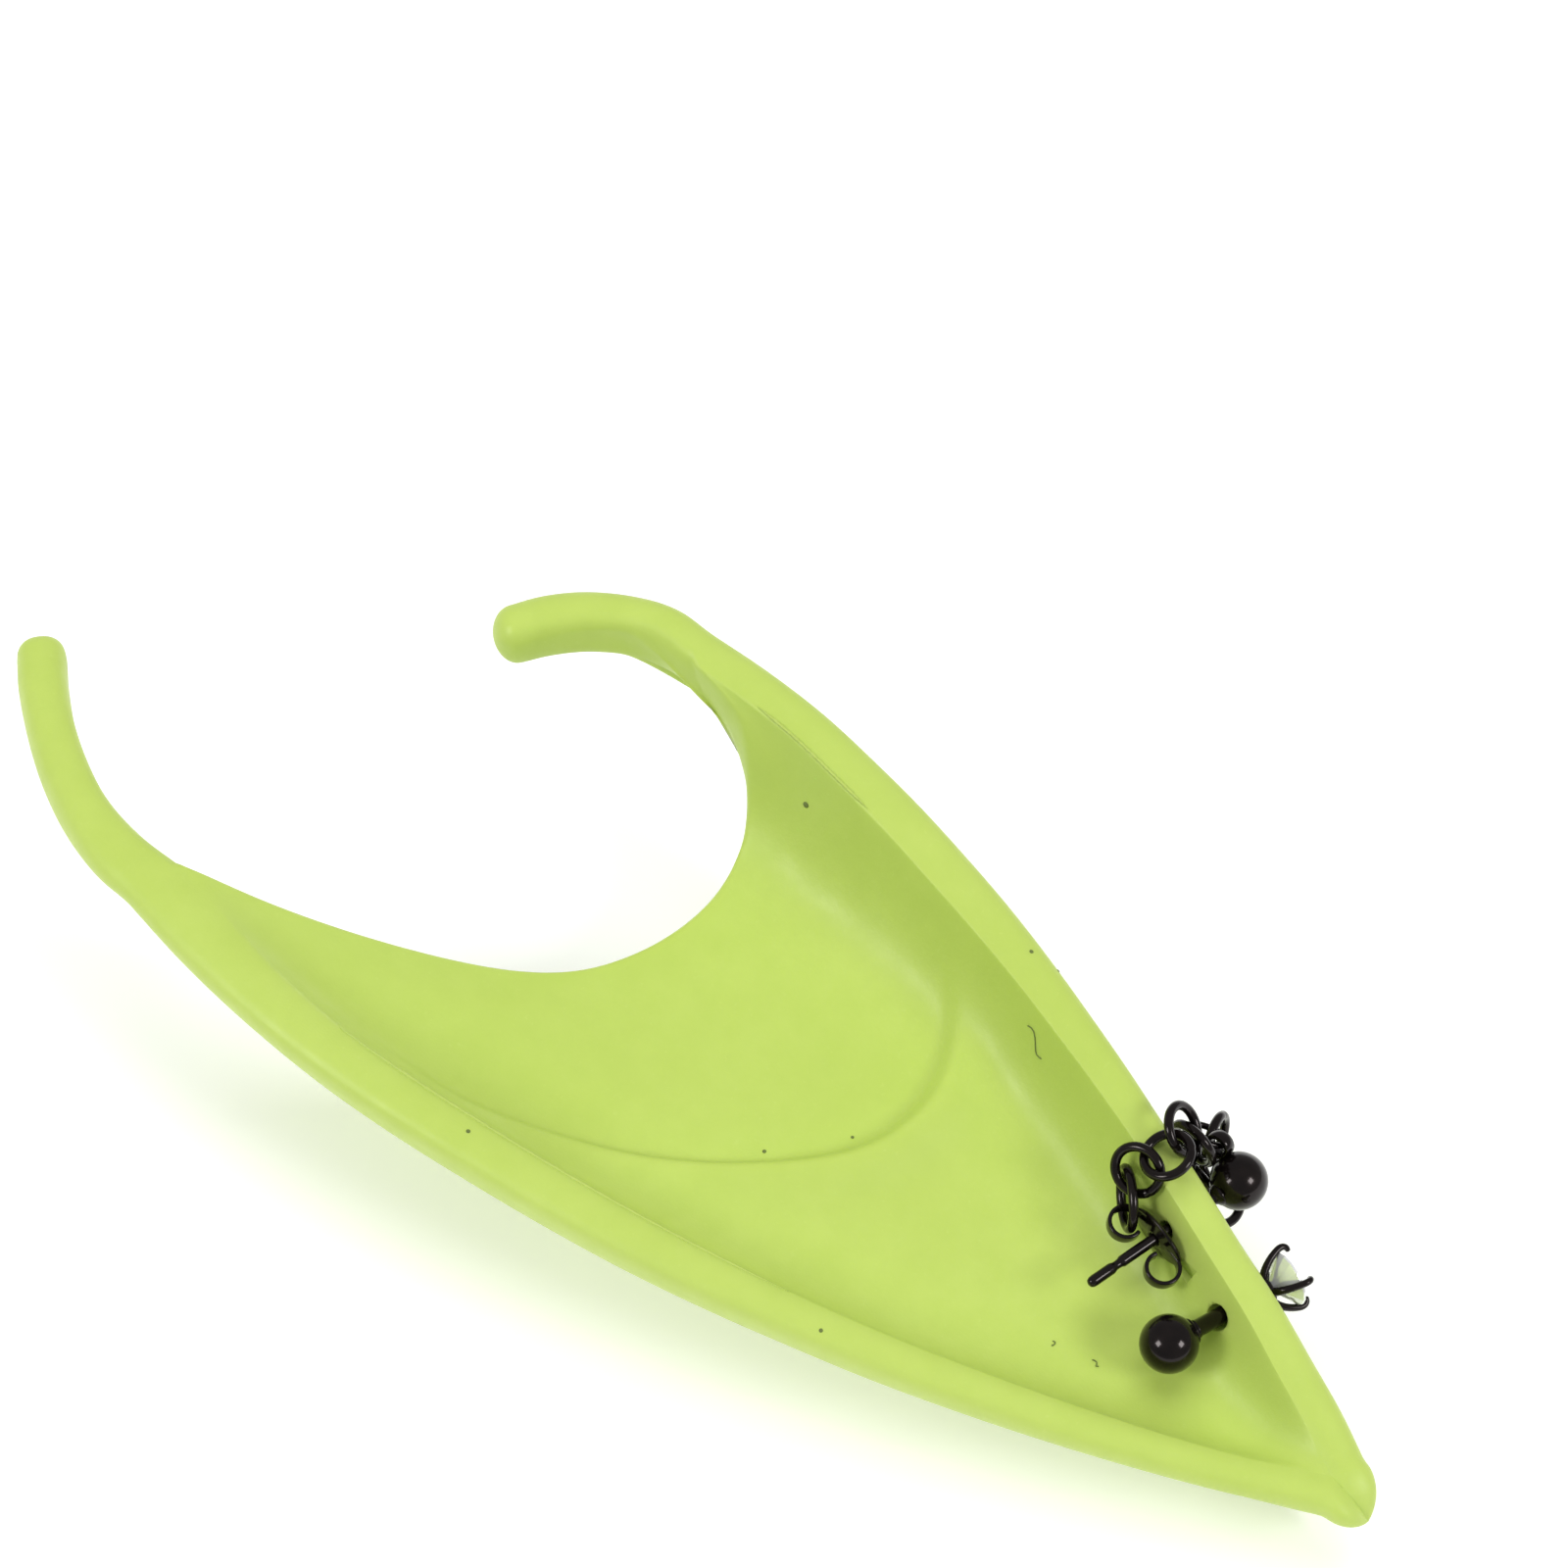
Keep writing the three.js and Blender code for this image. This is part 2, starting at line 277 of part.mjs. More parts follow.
// ---------------------------------------------------------------- the shell
function earShell() {
  const verts = [], faces = [], K = FRONT + SIDE + BACK + SIDE;
  const add = (ring) => ring.map((p) => verts.push(p) - 1);
  const strip = (r0, r1, flip) => {
    const n = r0.length;
    for (let k = 0; k < n; k++) {
      const a = r0[k], b = r0[(k + 1) % n], c = r1[(k + 1) % n], d = r1[k];
      if (flip) faces.push([a, c, b], [a, d, c]); else faces.push([a, b, c], [a, c, d]);
    }
  };
  const cap = (ring, point, flip) => {
    const v = verts.push(point) - 1;
    for (let k = 0; k < ring.length; k++) {
      const a = ring[k], b = ring[(k + 1) % ring.length];
      faces.push(flip ? [a, v, b] : [a, b, v]);
    }
  };
  // outside, mouth to tip, closer sections near the tip
  const outer = [];
  let last;
  for (let i = 0; i < STATIONS; i++) { last = outerRing(i / (STATIONS - 1)); outer.push(add(last)); }
  const ra = rim('a', 1).outer, rb = rim('b', 1).outer, mid = [(ra[0] + rb[0]) / 2, (ra[1] + rb[1]) / 2, 4.9];
  for (let i = 1; i < ROUND; i++) {
    const f = (Math.PI / 2) * (i / ROUND), c = Math.cos(f), d = Math.sin(f);
    outer.push(add(last.map((p) => [mid[0] + (p[0] - mid[0]) * c + (NOSE.x - mid[0]) * d, mid[1] + (p[1] - mid[1]) * c + (NOSE.y - mid[1]) * d, mid[2] + (p[2] - mid[2]) * c])));
  }
  for (let i = 0; i + 1 < outer.length; i++) strip(outer[i], outer[i + 1], false);
  cap(outer[outer.length - 1], [NOSE.x, NOSE.y, mid[2]], false);
  // pocket, mouth to its rounded end
  const inner = [], NP = Math.round(STATIONS * 0.75);
  for (let i = 0; i < NP; i++) { last = pocketRing((i / (NP - 1)) * POCKET_END); inner.push(add(last)); }
  const c0 = last.reduce((m, p) => [m[0] + p[0] / K, m[1] + p[1] / K, m[2] + p[2] / K], [0, 0, 0]);
  for (let i = 1; i < 3; i++) {
    const f = (Math.PI / 2) * (i / 3), c = Math.cos(f), d = Math.sin(f) * 1.5;
    inner.push(add(last.map((p) => [c0[0] + (p[0] - c0[0]) * c + d, c0[1] + (p[1] - c0[1]) * c - 0.1 * d, c0[2] + (p[2] - c0[2]) * c])));
  }
  for (let i = 0; i + 1 < inner.length; i++) strip(inner[i], inner[i + 1], true);
  cap(inner[inner.length - 1], [c0[0] + 1.5, c0[1] - 0.15, c0[2]], true);
  // lips of the mouth: front skin, then back wall
  const o = outer[0], n = inner[0], join = (k, m) => faces.push([o[m], o[k], n[k]], [o[m], n[k], n[m]]);
  for (let k = 0; k < FRONT - 1; k++) join(k, k + 1);
  for (let k = FRONT + SIDE; k < FRONT + SIDE + BACK - 1; k++) join(k, k + 1);
  // prongs: outer half of the section, then the inner half back
  const prong = (loop, rows, out) => {
    const half = loop.length / 2, base = loop.map((v) => verts[v]), neck = rim(out > 0 ? 'a' : 'b', 0);
    // the centre line starts in the middle of the rim, half a prong's height below its top
    const c = [(neck.inner[0] + neck.outer[0]) / 2, (neck.inner[1] + neck.outer[1]) / 2, neck.z - rows[0].t / 2];
    const line = [{ x: c[0], y: c[1], z: c[2] }, ...rows], N = 3 * rows.length;
    let prev = loop, frame;
    const shape = (i, w, t, g) => {
      // angle 0 outwards, 90 up
      const deg = i < half ? mix(-118, 132, i / (half - 1)) : mix(152, 222, (i - half) / (half - 1));
      const a = (deg * Math.PI) / 180, ca = Math.cos(a), sa = Math.sin(a);
      const e = (v) => Math.sign(v) * Math.pow(Math.abs(v), 0.82);
      const u = (w / 2) * e(ca) * (i < half ? 1 : 1 - 2 * g * Math.pow(Math.max(-ca, 0), 6));
      return [u, (t / 2) * e(sa)];
    };
    for (let j = 1; j <= N + ROUND; j++) {
      const share = Math.min(j / N, 1), p = ['x', 'y', 'z'].map((k) => at(line, k, share));
      const w = at(rows, 'w', Math.max(share * rows.length - 1, 0) / (rows.length - 1)), t = at(rows, 't', Math.max(share * rows.length - 1, 0) / (rows.length - 1));
      const g = at(rows, 'g', Math.max(share * rows.length - 1, 0) / (rows.length - 1));
      if (j <= N) {
        const q0 = ['x', 'y'].map((k) => at(line, k, Math.max(share - 0.01, 0))), q1 = ['x', 'y'].map((k) => at(line, k, Math.min(share + 0.01, 1)));
        const tx = q1[0] - q0[0], ty = q1[1] - q0[1], l = Math.hypot(tx, ty);
        frame = { dir: [tx / l, ty / l], out: [(out * -ty) / l, (out * tx) / l] };
      }
      const phi = j > N ? (Math.PI / 2) * ((j - N) / ROUND) : 0, cs = Math.cos(phi), ext = Math.sin(phi) * PRONG_ROUND;
      const o2 = [p[0] + frame.dir[0] * ext, p[1] + frame.dir[1] * ext, p[2]];
      if (j === N + ROUND) {
        const v = verts.push(o2) - 1;
        for (let k = 0; k < prev.length; k++) faces.push([prev[k], prev[(k + 1) % prev.length], v]);
        break;
      }
      const m = step(0, 0.42, share);
      const ring = add(base.map((b, i) => {
        const [u, v] = shape(i, w, t, g);
        const full = [o2[0] + frame.out[0] * u * cs, o2[1] + frame.out[1] * u * cs, o2[2] + v * cs];
        return full.map((val, k) => mix(b[k] - c[k] + o2[k], val, m));
      }));
      for (let k = 0; k < prev.length; k++) {
        const a = prev[k], b = prev[(k + 1) % prev.length], cc = ring[(k + 1) % prev.length], d = ring[k];
        faces.push([a, b, cc], [a, cc, d]);
      }
      prev = ring;
    }
  };
  const kb = FRONT - 1, ke = FRONT + SIDE, ka = FRONT + SIDE + BACK - 1;
  // front prong: outer half from the underside up over the rim, inner half back down the pocket side
  const bo = [], bi = [], ao = [], ai = [];
  for (let k = ke; k >= kb; k--) bo.push(o[k]);
  for (let k = kb; k <= ke; k++) bi.push(n[k]);
  for (let k = ka; k <= K; k++) ao.push(o[k % K]);
  for (let k = K; k >= ka; k--) ai.push(n[k % K]);
  prong([...bo, ...bi], FRONT_PRONG, -1);
  const mark = faces.length;
  prong([...ao, ...ai], REAR_PRONG, 1);
  // every face so far winds inwards, apart from the rear prong's
  for (let i = 0; i < mark; i++) faces[i] = [faces[i][0], faces[i][2], faces[i][1]];
  return { verts, faces };
}
function toGeometry(verts, faces) {
  const g = new THREE.BufferGeometry();
  g.setAttribute('position', new THREE.Float32BufferAttribute(verts.flat(), 3));
  g.setIndex(faces.flat());
  return g;
}
function toManifold(geometry) {
  let g = geometry.clone();
  g.deleteAttribute('normal'); g.deleteAttribute('uv');
  g = mergeVertices(g, 1e-4);
  return new wasm.Manifold(new wasm.Mesh({ numProp: 3, vertProperties: new Float32Array(g.attributes.position.array), triVerts: new Uint32Array(g.index.array) }));
}
function fromManifold(m) {
  const mesh = m.getMesh(), g = new THREE.BufferGeometry();
  g.setAttribute('position', new THREE.Float32BufferAttribute(new Float32Array(mesh.vertProperties), 3));
  g.setIndex(Array.from(mesh.triVerts));
  return g;
}
function join(geometries) {
  return fromManifold(geometries.map(toManifold).reduce((a, b) => a.add(b)));
}
// a shape made along +Y, turned to point along dir, moved to p
function placed(g, dir, p) {
  const q = new THREE.Quaternion().setFromUnitVectors(new THREE.Vector3(0, 1, 0), dir);
  return g.clone().applyQuaternion(q).translate(p.x, p.y, p.z);
}
function turned(profile, sides) { return new THREE.LatheGeometry(profile.map(([r, y]) => new THREE.Vector2(r, y)), sides); }

// ---------------------------------------------------------------- build
const group = new THREE.Group();
group.position.set(-ORIGIN[0], -ORIGIN[1], -ORIGIN[2]);
const latex = { color: 0xb5d765, roughness: 0.55, metalness: 0 };
const black = { color: 0x101012, roughness: 0.22, metalness: 1 };
function piece(name, geometry, look) {
  const mesh = new THREE.Mesh(geometry, new THREE.MeshStandardMaterial(look));
  mesh.name = name;
  group.add(mesh);
  return mesh;
}
const V = (x, y, z) => new THREE.Vector3(x, y, z);

// shell, with a hole through the front rim for each post
const raw = earShell();
let shell = toManifold(toGeometry(raw.verts, raw.faces));
const stud = V(STUD.x, STUD.y, STUD.z), labret = V(LABRET.x, LABRET.y, LABRET.z);
const bore = (r, dir, from, length) => {
  const g = new THREE.CylinderGeometry(r, r, length, 12);
  return toManifold(placed(g, dir, from.clone().addScaledVector(dir, length / 2)));
};
shell = shell.subtract(bore(STUD.post + HOLE_CLEAR, STUD_DIR, stud, 9.5));
shell = shell.subtract(bore(LABRET.bar + HOLE_CLEAR, LABRET_DIR, labret, 11));
// the soft wall gives way where the clutch is pressed against it
const strip = { half: 0.14, width: 0.9, R: 1.15, off: 1.95, at: 7.1, tilt: -12, plate: 1.5 };
const across = V(0.969, -0.249, 0).normalize().multiplyScalar(Math.cos((strip.tilt * Math.PI) / 180)).add(V(0, 0, Math.sin((strip.tilt * Math.PI) / 180)));
const seatBack = stud.clone().addScaledVector(STUD_DIR, strip.at), stripUp = V().crossVectors(across, STUD_DIR).normalize();
{
  const deep = 2 * (strip.R + strip.half) + 2 * GAP, g = new THREE.BoxGeometry(2 * (strip.off + strip.R + strip.half + GAP), deep, strip.width + 2 * GAP);
  g.translate(0, deep / 2 - GAP, 0).applyMatrix4(new THREE.Matrix4().makeBasis(across, STUD_DIR, stripUp)).translate(seatBack.x, seatBack.y, seatBack.z);
  shell = shell.subtract(toManifold(g)).subtract(bore(strip.plate + GAP, STUD_DIR, seatBack.clone().addScaledVector(STUD_DIR, -GAP), 2 * strip.half + 2 * GAP));
}
piece('ear_shell', fromManifold(shell), latex);

// ---- ball stud: ball, bail loop and post in one
const EYE_DIR = V(-2.57, 0.66, 2.2).normalize();
const EYE = stud.clone().addScaledVector(EYE_DIR, BALL_R + 0.85);
const eyeSide = V().crossVectors(EYE_DIR, V(0, 0, 1)).normalize();
const EYE_NORMAL = V().crossVectors(EYE_DIR, eyeSide).multiplyScalar(0.35).add(eyeSide).normalize();
function ringAt(R, r, centre, normal, around = 16, tube = 8) {
  const g = new THREE.TorusGeometry(R, r, tube, around);
  return g.applyQuaternion(new THREE.Quaternion().setFromUnitVectors(V(0, 0, 1), normal.clone().normalize())).translate(centre.x, centre.y, centre.z);
}
piece('stud_ball', join([
  new THREE.SphereGeometry(BALL_R, 18, 12).translate(stud.x, stud.y, stud.z),
  placed(turned([[BAIL.inner, -BAIL.width / 2], [BAIL.outer, -BAIL.width / 2], [BAIL.outer, BAIL.width / 2], [BAIL.inner, BAIL.width / 2], [BAIL.inner, -BAIL.width / 2]], 12), EYE_NORMAL, EYE),
  placed(turned([[0, 1.6], [0.75, 1.6], [0.75, 2.3], [STUD.post, 2.5], [STUD.post, 10.4], [0.31, 10.6], [0.31, 10.9], [STUD.post, 11.1], [STUD.post, 12.8], [0.25, 13.1], [0, STUD.length]], 10), STUD_DIR, stud),
]), black);

// ---- butterfly clutch: a strip whose two ends curl into loops beside the post
function stripShape() {
  const path = [];
  for (const side of [-1, 1]) {
    const part = [];
    for (let i = 0; i <= 14; i++) {
      const a = ((-90 + (i / 14) * 285) * Math.PI) / 180;
      part.push([side * (strip.off + strip.R * Math.cos(a)), strip.R + strip.half + strip.R * Math.sin(a), side]);
    }
    path.push(...(side < 0 ? part.reverse() : part));
  }
  const left = [], right = [];
  path.forEach((p, i) => {
    const q0 = path[Math.max(i - 1, 0)], q1 = path[Math.min(i + 1, path.length - 1)];
    const l = Math.hypot(q1[0] - q0[0], q1[1] - q0[1]), nx = -(q1[1] - q0[1]) / l, ny = (q1[0] - q0[0]) / l;
    left.push(new THREE.Vector2(p[0] + nx * strip.half, p[1] + ny * strip.half));
    right.push(new THREE.Vector2(p[0] - nx * strip.half, p[1] - ny * strip.half));
  });
  return new THREE.Shape([...left, ...right.reverse()]);
}
{
  const g = new THREE.ExtrudeGeometry(stripShape(), { depth: strip.width, bevelEnabled: false }).translate(0, 0, -strip.width / 2);
  g.applyMatrix4(new THREE.Matrix4().makeBasis(across, STUD_DIR, stripUp));
  const c = seatBack;
  g.translate(c.x, c.y, c.z);
  const plate = placed(turned([[0, -0.05], [strip.plate, -0.05], [strip.plate, 0.33], [0, 0.33]], 14), STUD_DIR, c);
  const clutch = toManifold(g).add(toManifold(plate)).subtract(bore(STUD.post + 0.25, STUD_DIR, c.clone().addScaledVector(STUD_DIR, -0.5), 1.2));
  piece('butterfly_clutch', fromManifold(clutch), black);
}

// ---- chain: an oval end link in the clutch, round links, then the jump ring
CHAIN.forEach((k, i) => {
  const centre = V(k.x, k.y, k.z), normal = V(k.nx, k.ny, k.nz).normalize();
  if (i === 0) {
    const long = V(k.lx, k.ly, k.lz); long.addScaledVector(normal, -long.dot(normal)).normalize();
    const g = new THREE.TorusGeometry(1, LINK.r, 7, 18), p = g.attributes.position;
    for (let v = 0; v < p.count; v++) {
      const a = Math.atan2(p.getY(v), p.getX(v)), rr = Math.hypot(p.getX(v), p.getY(v)) - 1;
      const nx = Math.cos(a) / END_LINK.A, ny = Math.sin(a) / END_LINK.B, l = Math.hypot(nx, ny);
      p.setXY(v, END_LINK.A * Math.cos(a) + (rr * nx) / l, END_LINK.B * Math.sin(a) + (rr * ny) / l);
    }
    g.applyMatrix4(new THREE.Matrix4().makeBasis(long, V().crossVectors(normal, long), normal)).translate(centre.x, centre.y, centre.z);
    piece('chain_link_01', fromManifold(toManifold(g)), black);
  } else if (i < CHAIN.length - 1) {
    piece('chain_link_' + String(i + 1).padStart(2, '0'), fromManifold(toManifold(ringAt(LINK.R, LINK.r, centre, normal, 16, 7))), black);
  } else {
    piece('jump_ring', fromManifold(toManifold(ringAt(JUMP.R, JUMP.r, centre, normal, 18, 6))), black);
  }
});

// ---- labret stud: bar and claw setting in one, stone, screw ball on the bar's end
const seat = 7.6;            // from the inner ball's centre to the foot of the setting
const claws = [0, 1, 2, 3].map((i) => {
  const a = (i * Math.PI) / 2 + Math.PI / 4;
  const pt = (r, y) => V(r * Math.cos(a), y, r * Math.sin(a));
  const curve = new THREE.CatmullRomCurve3([pt(0.7, seat + 0.2), pt(1.5, seat + 0.75), pt(2.1, seat + 1.6), pt(2.15, seat + 2.35)]);
  const n = 8, section = new THREE.Shape(Array.from({ length: 6 }, (_, k) => new THREE.Vector2(0.22 * Math.cos((k * Math.PI) / 3), 0.22 * Math.sin((k * Math.PI) / 3))));
  return new THREE.ExtrudeGeometry(section, { extrudePath: curve, steps: n, bevelEnabled: false });
});
piece('labret_stud', join([
  placed(turned([[0, 1.05], [LABRET.bar, 1.05], [LABRET.bar, seat], [0.95, seat + 0.05], [1.0, seat + 0.35], [0.7, seat + 0.5], [0, seat + 0.5]], 12), LABRET_DIR, labret),
  ...claws.map((g) => placed(g, LABRET_DIR, labret)),
]), black);
piece('clear_stone', placed(turned([[0, seat + 0.85], [STONE_R - 0.3, seat + 2.0], [STONE_R - 0.3, seat + 2.15], [1.0, seat + 2.65], [0, seat + 2.65]], 12), LABRET_DIR, labret), { color: 0xf2f6f8, roughness: 0.05, metalness: 0 });
piece('labret_ball', fromManifold(toManifold(new THREE.SphereGeometry(BALL_R, 18, 12).translate(labret.x, labret.y, labret.z))
  .subtract(bore(LABRET.bar + GAP, LABRET_DIR, labret.clone().addScaledVector(LABRET_DIR, 0.7), 3))), black);

export default group;
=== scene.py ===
import bpy, math
import numpy as np
from mathutils import Vector, Matrix, Quaternion


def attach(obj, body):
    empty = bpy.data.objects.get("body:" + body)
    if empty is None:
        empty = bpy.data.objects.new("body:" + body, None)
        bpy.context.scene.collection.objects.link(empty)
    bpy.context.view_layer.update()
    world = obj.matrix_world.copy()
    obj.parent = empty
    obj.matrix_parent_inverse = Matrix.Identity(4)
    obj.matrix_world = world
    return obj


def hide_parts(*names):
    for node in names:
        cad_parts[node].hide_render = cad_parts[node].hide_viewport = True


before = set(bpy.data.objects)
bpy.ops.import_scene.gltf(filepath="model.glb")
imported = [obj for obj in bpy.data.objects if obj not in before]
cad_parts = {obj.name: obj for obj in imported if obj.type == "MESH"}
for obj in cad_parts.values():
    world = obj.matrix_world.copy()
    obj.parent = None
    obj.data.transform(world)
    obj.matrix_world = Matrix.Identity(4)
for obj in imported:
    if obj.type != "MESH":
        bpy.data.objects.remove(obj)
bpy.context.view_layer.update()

# ------------------------------------------------------------------ sizes, mm
MM = 0.001
ORIGIN = (12.64, -26.04, 0.0)
SKIN, BACK_WALL, SIDE_WALL = 1.3, 1.7, 1.9
WALL_REACH, TUCK = 1.6, 0.38
RIDGE_H, RIDGE_DIP = 1.15, 0.35
POCKET_END = 0.84
STATIONS, FRONT, SIDE, BACK, ROUND = 110, 64, 8, 16, 8
PRONG_ROUND, FLAT = 1.6, 1.6

SECTION_KEYS = "ax ay az aw aHull aFoot aVal bx by bz bw bHull bFoot bVal mid belly".split()
SECTIONS = [
    (-21.8, -40.9, 16.5, 4.3, 12.9, 12.3, 16.4, -2.5, -4.9, 21.8, 3.3, 17.6, 17.0, 20.6, 9.0, 0.8),
    (-16.0, -42.3, 16.4, 4.1, 11.3, 10.0, 15.0, 2.5, -4.6, 21.0, 3.5, 14.2, 12.6, 15.5, 8.8, 0.5),
    (-10.0, -43.4, 16.2, 3.8, 10.2, 8.0, 13.2, 7.5, -4.7, 20.2, 3.6, 12.0, 9.4, 12.6, 8.6, 0.3),
    (-4.0, -43.9, 15.8, 3.6, 9.0, 6.0, 11.8, 12.5, -5.2, 19.2, 3.7, 10.2, 6.6, 11.4, 8.5, 0.1),
    (2.0, -43.8, 15.3, 3.5, 7.9, 4.2, 10.8, 17.0, -5.8, 18.2, 3.7, 8.7, 4.4, 10.8, 8.4, 0.0),
    (8.0, -43.3, 14.6, 3.4, 7.0, 2.7, 10.0, 21.5, -6.7, 17.3, 3.7, 7.5, 2.6, 10.2, 8.3, 0.0),
    (14.0, -42.6, 13.8, 3.3, 6.2, 1.5, 9.0, 26.0, -7.8, 16.5, 3.6, 6.7, 1.4, 9.4, 8.3, 0.0),
    (20.0, -41.7, 13.0, 3.2, 5.6, 0.7, 8.2, 30.5, -9.2, 15.8, 3.4, 6.0, 0.6, 8.6, 7.9, 0.0),
    (26.0, -40.6, 12.2, 3.0, 5.2, 0.2, 7.3, 35.0, -10.8, 15.1, 3.2, 5.5, 0.15, 7.9, 7.2, 0.0),
    (32.0, -39.2, 11.3, 2.8, 4.9, 0.0, 6.6, 39.5, -12.5, 14.4, 3.0, 5.2, 0.0, 7.2, 6.6, 0.0),
    (38.0, -37.6, 10.5, 2.7, 4.7, 0.0, 6.0, 43.8, -14.3, 13.8, 2.8, 5.0, 0.0, 6.6, 6.1, 0.0),
    (44.0, -35.7, 9.7, 2.6, 4.6, 0.0, 5.5, 48.0, -16.0, 13.1, 2.7, 5.0, 0.0, 6.1, 5.6, 0.0),
    (50.0, -33.6, 8.9, 2.5, 4.7, 0.0, 5.1, 52.5, -17.8, 12.0, 2.7, 5.0, 0.0, 5.6, 5.2, 0.0),
    (55.5, -31.5, 8.2, 2.4, 4.9, 0.0, 4.9, 57.0, -19.5, 10.9, 2.8, 5.0, 0.0, 5.2, 4.9, 0.0),
    (60.0, -29.7, 7.8, 2.3, 5.0, 0.3, 5.0, 60.8, -21.1, 9.7, 2.9, 5.0, 0.3, 5.1, 4.9, 0.3),
    (63.5, -28.2, 7.6, 2.2, 5.0, 0.9, 5.6, 64.3, -22.6, 8.6, 2.9, 4.9, 0.9, 5.6, 5.5, 0.9),
    (66.3, -27.0, 7.4, 2.2, 4.8, 1.7, 6.6, 67.2, -24.1, 7.6, 2.9, 4.8, 1.7, 6.6, 6.6, 1.7),
]
TIP = (66.1, -26.8)
NOSE = (69.4, -26.9)
LIP = [(-21.8, -40.9, 16.4), (-16.9, -39.2, 14.7), (-10.7, -36.2, 12.5), (-4.8, -32.8, 10.5), (-0.3, -29.8, 9.4), (2.8, -26.8, 8.9),
       (4.9, -23.2, 8.8), (6.1, -19.5, 9.0), (6.5, -16.0, 9.6), (6.1, -12.9, 10.8), (5.1, -10.5, 12.6), (2.4, -8.8, 17.0), (-2.0, -8.2, 20.6)]
RECESS = [(0.0, 0.0), (1.5, -1.0), (3.8, -0.2), (5.0, 2.8), (3.0, 2.4)]
RIDGE = [(-6.0, -41.4, 0.0), (0.0, -41.1, 0.35), (4.6, -40.5, 0.6), (10.7, -38.3, 0.9), (16.6, -35.4, 1.0), (21.9, -31.4, 1.0),
         (26.4, -26.5, 1.0), (27.8, -22.0, 1.0), (27.2, -18.0, 0.8), (25.0, -14.2, 0.4), (21.8, -10.7, 0.0)]
REAR_PRONG = [(-25.6, -42.6, 14.4, 4.1, 4.3, 0.14), (-29.4, -41.4, 14.5, 4.0, 4.3, 0.12), (-33.3, -39.6, 14.6, 3.9, 4.3, 0.1),
              (-36.9, -37.4, 14.6, 3.8, 4.3, 0.08), (-40.2, -34.9, 14.6, 3.8, 4.3, 0.05), (-42.4, -32.9, 14.6, 3.7, 4.2, 0.02)]
FRONT_PRONG = [(-5.2, -6.8, 20.3, 3.6, 4.6, 0.14), (-7.8, -7.8, 20.5, 3.7, 4.6, 0.12), (-10.4, -9.5, 20.6, 3.8, 4.6, 0.08),
               (-12.4, -11.4, 20.5, 3.9, 4.5, 0.05), (-13.9, -13.2, 20.2, 3.8, 4.4, 0.02)]

SEC = {k: np.array([r[i] for r in SECTIONS]) for i, k in enumerate(SECTION_KEYS)}
COLS = lambda rows, keys: {k: np.array([r[i] for r in rows]) for i, k in enumerate(keys)}
LIPC, RECC, RIDC = COLS(LIP, "xyz"), COLS(RECESS, "xy"), COLS(RIDGE, "xyh")
RPC, FPC = COLS(REAR_PRONG, "xyzwtg"), COLS(FRONT_PRONG, "xyzwtg")


# ------------------------------------------------------------ interpolation
def smooth(v, u):
    v = np.asarray(v, float); n = len(v) - 1
    u = np.clip(u, 0, n); i = np.minimum(np.floor(u).astype(int), n - 1); f = u - i
    p1, p2 = v[i], v[i + 1]
    p0 = np.where(i > 0, v[np.maximum(i - 1, 0)], 2 * p1 - p2)
    p3 = np.where(i < n - 1, v[np.minimum(i + 2, n)], 2 * p2 - p1)
    return p1 + 0.5 * f * (p2 - p0 + f * (2 * p0 - 5 * p1 + 4 * p2 - p3 + f * (3 * (p1 - p2) + p3 - p0)))


def at(cols, key, share):
    c = cols[key]
    return smooth(c, np.asarray(share, float) * (len(c) - 1))


def mix(a, b, f):
    return a + (b - a) * f


def step(a, b, v):
    f = np.clip((np.asarray(v, float) - a) / (b - a), 0, 1)
    return f * f * (3 - 2 * f)


def rim(side, s):
    d = 0.004; s0, s1 = max(s - d, 0), min(s + d, 1)
    x, y, w = (float(at(SEC, side + k, s)) for k in "xyw")
    tx = float(at(SEC, side + "x", s1) - at(SEC, side + "x", s0)); ty = float(at(SEC, side + "y", s1) - at(SEC, side + "y", s0))
    l = math.hypot(tx, ty); tx /= l; ty /= l
    n = (ty, -tx) if side == "a" else (-ty, tx)
    inner = (x, y) if side == "a" else (x - w * n[0], y - w * n[1])
    outer = (x + w * n[0], y + w * n[1]) if side == "a" else (x, y)
    return dict(n=n, inner=inner, outer=outer, w=w, z=float(at(SEC, side + "z", s)), hull=float(at(SEC, side + "Hull", s)), foot=float(at(SEC, side + "Foot", s)))


def inner_edge(side, s):
    r, end = rim(side, s), rim(side, 1.0)
    f = max((s - 0.86) / 0.14, 0) ** 2
    return np.array([r["inner"][0] + (TIP[0] - end["inner"][0]) * f, r["inner"][1] + (TIP[1] - end["inner"][1]) * f, r["z"]])


EDGE = {side: np.array([inner_edge(side, i / 160) for i in range(161)]) for side in "ab"}


def nearest(line, x, y):
    p, q = line[:-1], line[1:]
    ux, uy = q[:, 0] - p[:, 0], q[:, 1] - p[:, 1]
    x, y = np.atleast_1d(x)[:, None], np.atleast_1d(y)[:, None]
    f = np.clip(((x - p[:, 0]) * ux + (y - p[:, 1]) * uy) / (ux * ux + uy * uy), 0, 1)
    px, py = p[:, 0] + f * ux, p[:, 1] + f * uy
    d = np.hypot(x - px, y - py); k = d.argmin(1); r = np.arange(len(k))
    v = mix(p[k, 2], q[k, 2], f[r, k])
    side = ux[k] * (y[:, 0] - py[r, k]) - uy[k] * (x[:, 0] - px[r, k])
    return d[r, k], v, side, (k + f[r, k]) / len(p)


